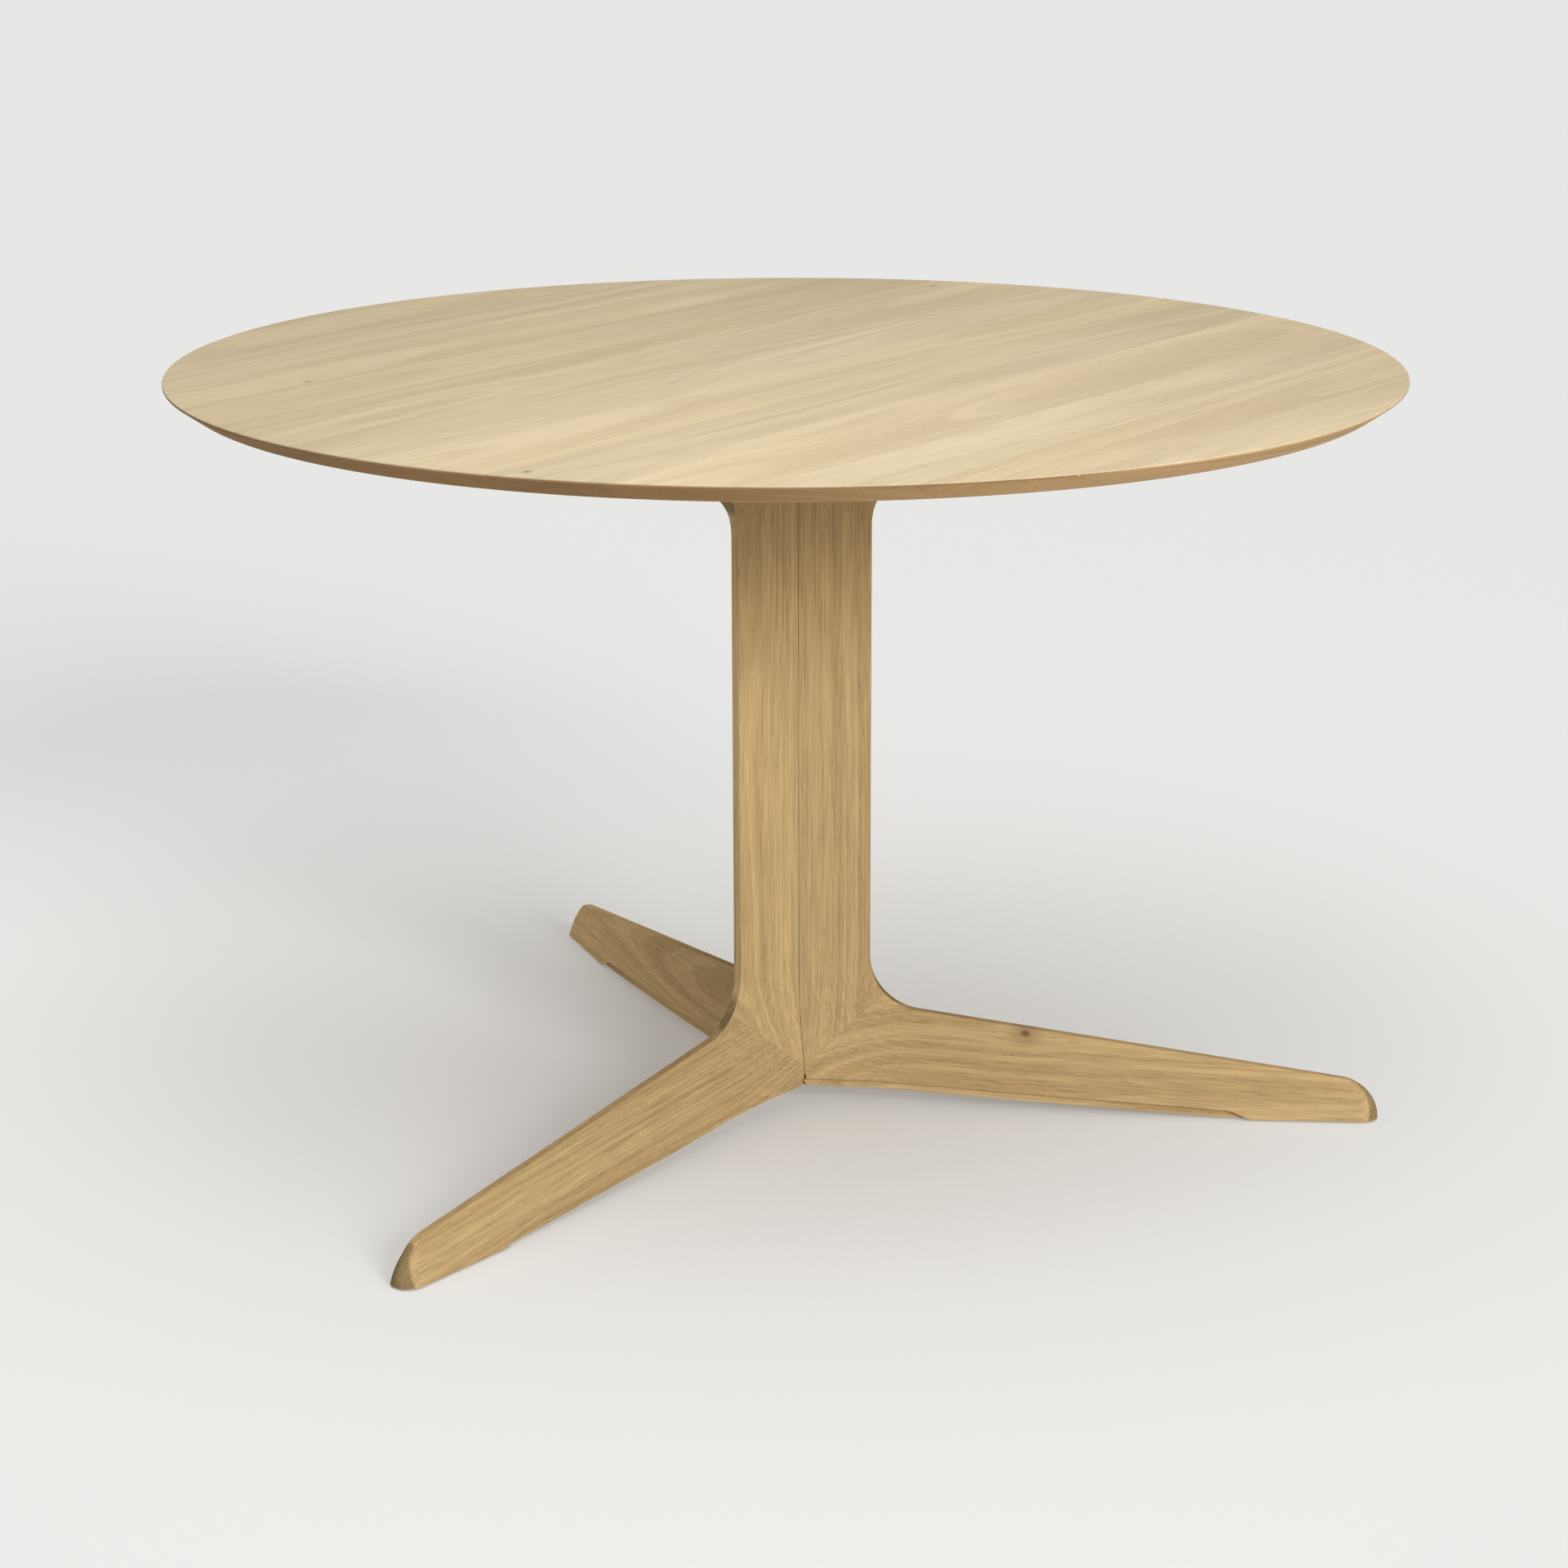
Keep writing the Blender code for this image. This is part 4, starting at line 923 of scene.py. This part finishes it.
def area_light(name, place, target, size, spread, power):
    """A round lamp facing the target, with its beam's spread in degrees."""
    data = bpy.data.lights.new(name, "AREA")
    data.shape = "DISK"
    data.size = size
    data.spread = math.radians(spread)
    data.energy = power
    light = bpy.data.objects.new(name, data)
    light.location = place
    light.rotation_euler = (Vector(target) - Vector(place)).to_track_quat("-Z", "Y").to_euler()
    scene.collection.objects.link(light)


def sun_light(name, bearing, height, angle, power):
    """A soft sun, by the bearing and height that it shines from, in degrees."""
    data = bpy.data.lights.new(name, "SUN")
    data.angle = math.radians(angle)
    data.energy = power
    light = bpy.data.objects.new(name, data)
    lean = Matrix.Rotation(math.radians(90.0 - height), 4, "X")
    light.matrix_world = Matrix.Rotation(math.radians(bearing + 90.0), 4, "Z") @ lean
    scene.collection.objects.link(light)


def build_studio():
    bm = bmesh.new()
    bmesh.ops.create_grid(bm, x_segments=8, y_segments=8, size=FLOOR_HALF)
    floor = link_object("studio_floor", bm)
    floor.data.materials.append(studio_floor("studio_floor"))

    world = bpy.data.worlds.new("studio_light")
    world.use_nodes = True
    background = world.node_tree.nodes["Background"]
    background.inputs["Color"].default_value = rgb(1.0, 1.0, 1.0)
    background.inputs["Strength"].default_value = 0.25
    scene.world = world
    sun_light("front_softbox", bearing=-61.0, height=22.0, angle=22.0, power=2.35)
    sun_light("overhead_softbox", bearing=-90.0, height=85.0, angle=84.0, power=1.62)
    area_light("front_fill", (0.1, -1.15, 2.1), (0.0, -0.40, TABLE_HEIGHT), size=1.0, spread=84.0, power=2.5)

    data = bpy.data.cameras.new("camera")
    data.lens = CAMERA_LENS
    data.sensor_width = CAMERA_SENSOR
    data.shift_x = CAMERA_SHIFT_X
    data.clip_end = 200.0
    camera = bpy.data.objects.new("camera", data)
    turn = Matrix.Rotation(math.radians(90.0) + CAMERA_PITCH, 4, "X") @ Matrix.Rotation(CAMERA_ROLL, 4, "Z")
    camera.matrix_world = Matrix.Translation(CAMERA_PLACE) @ turn
    scene.collection.objects.link(camera)
    scene.camera = camera
    scene.view_settings.view_transform = "Standard"


build_top()
for blade in range(BLADE_COUNT):
    build_blade(blade)
dress_cad_parts()
build_studio()
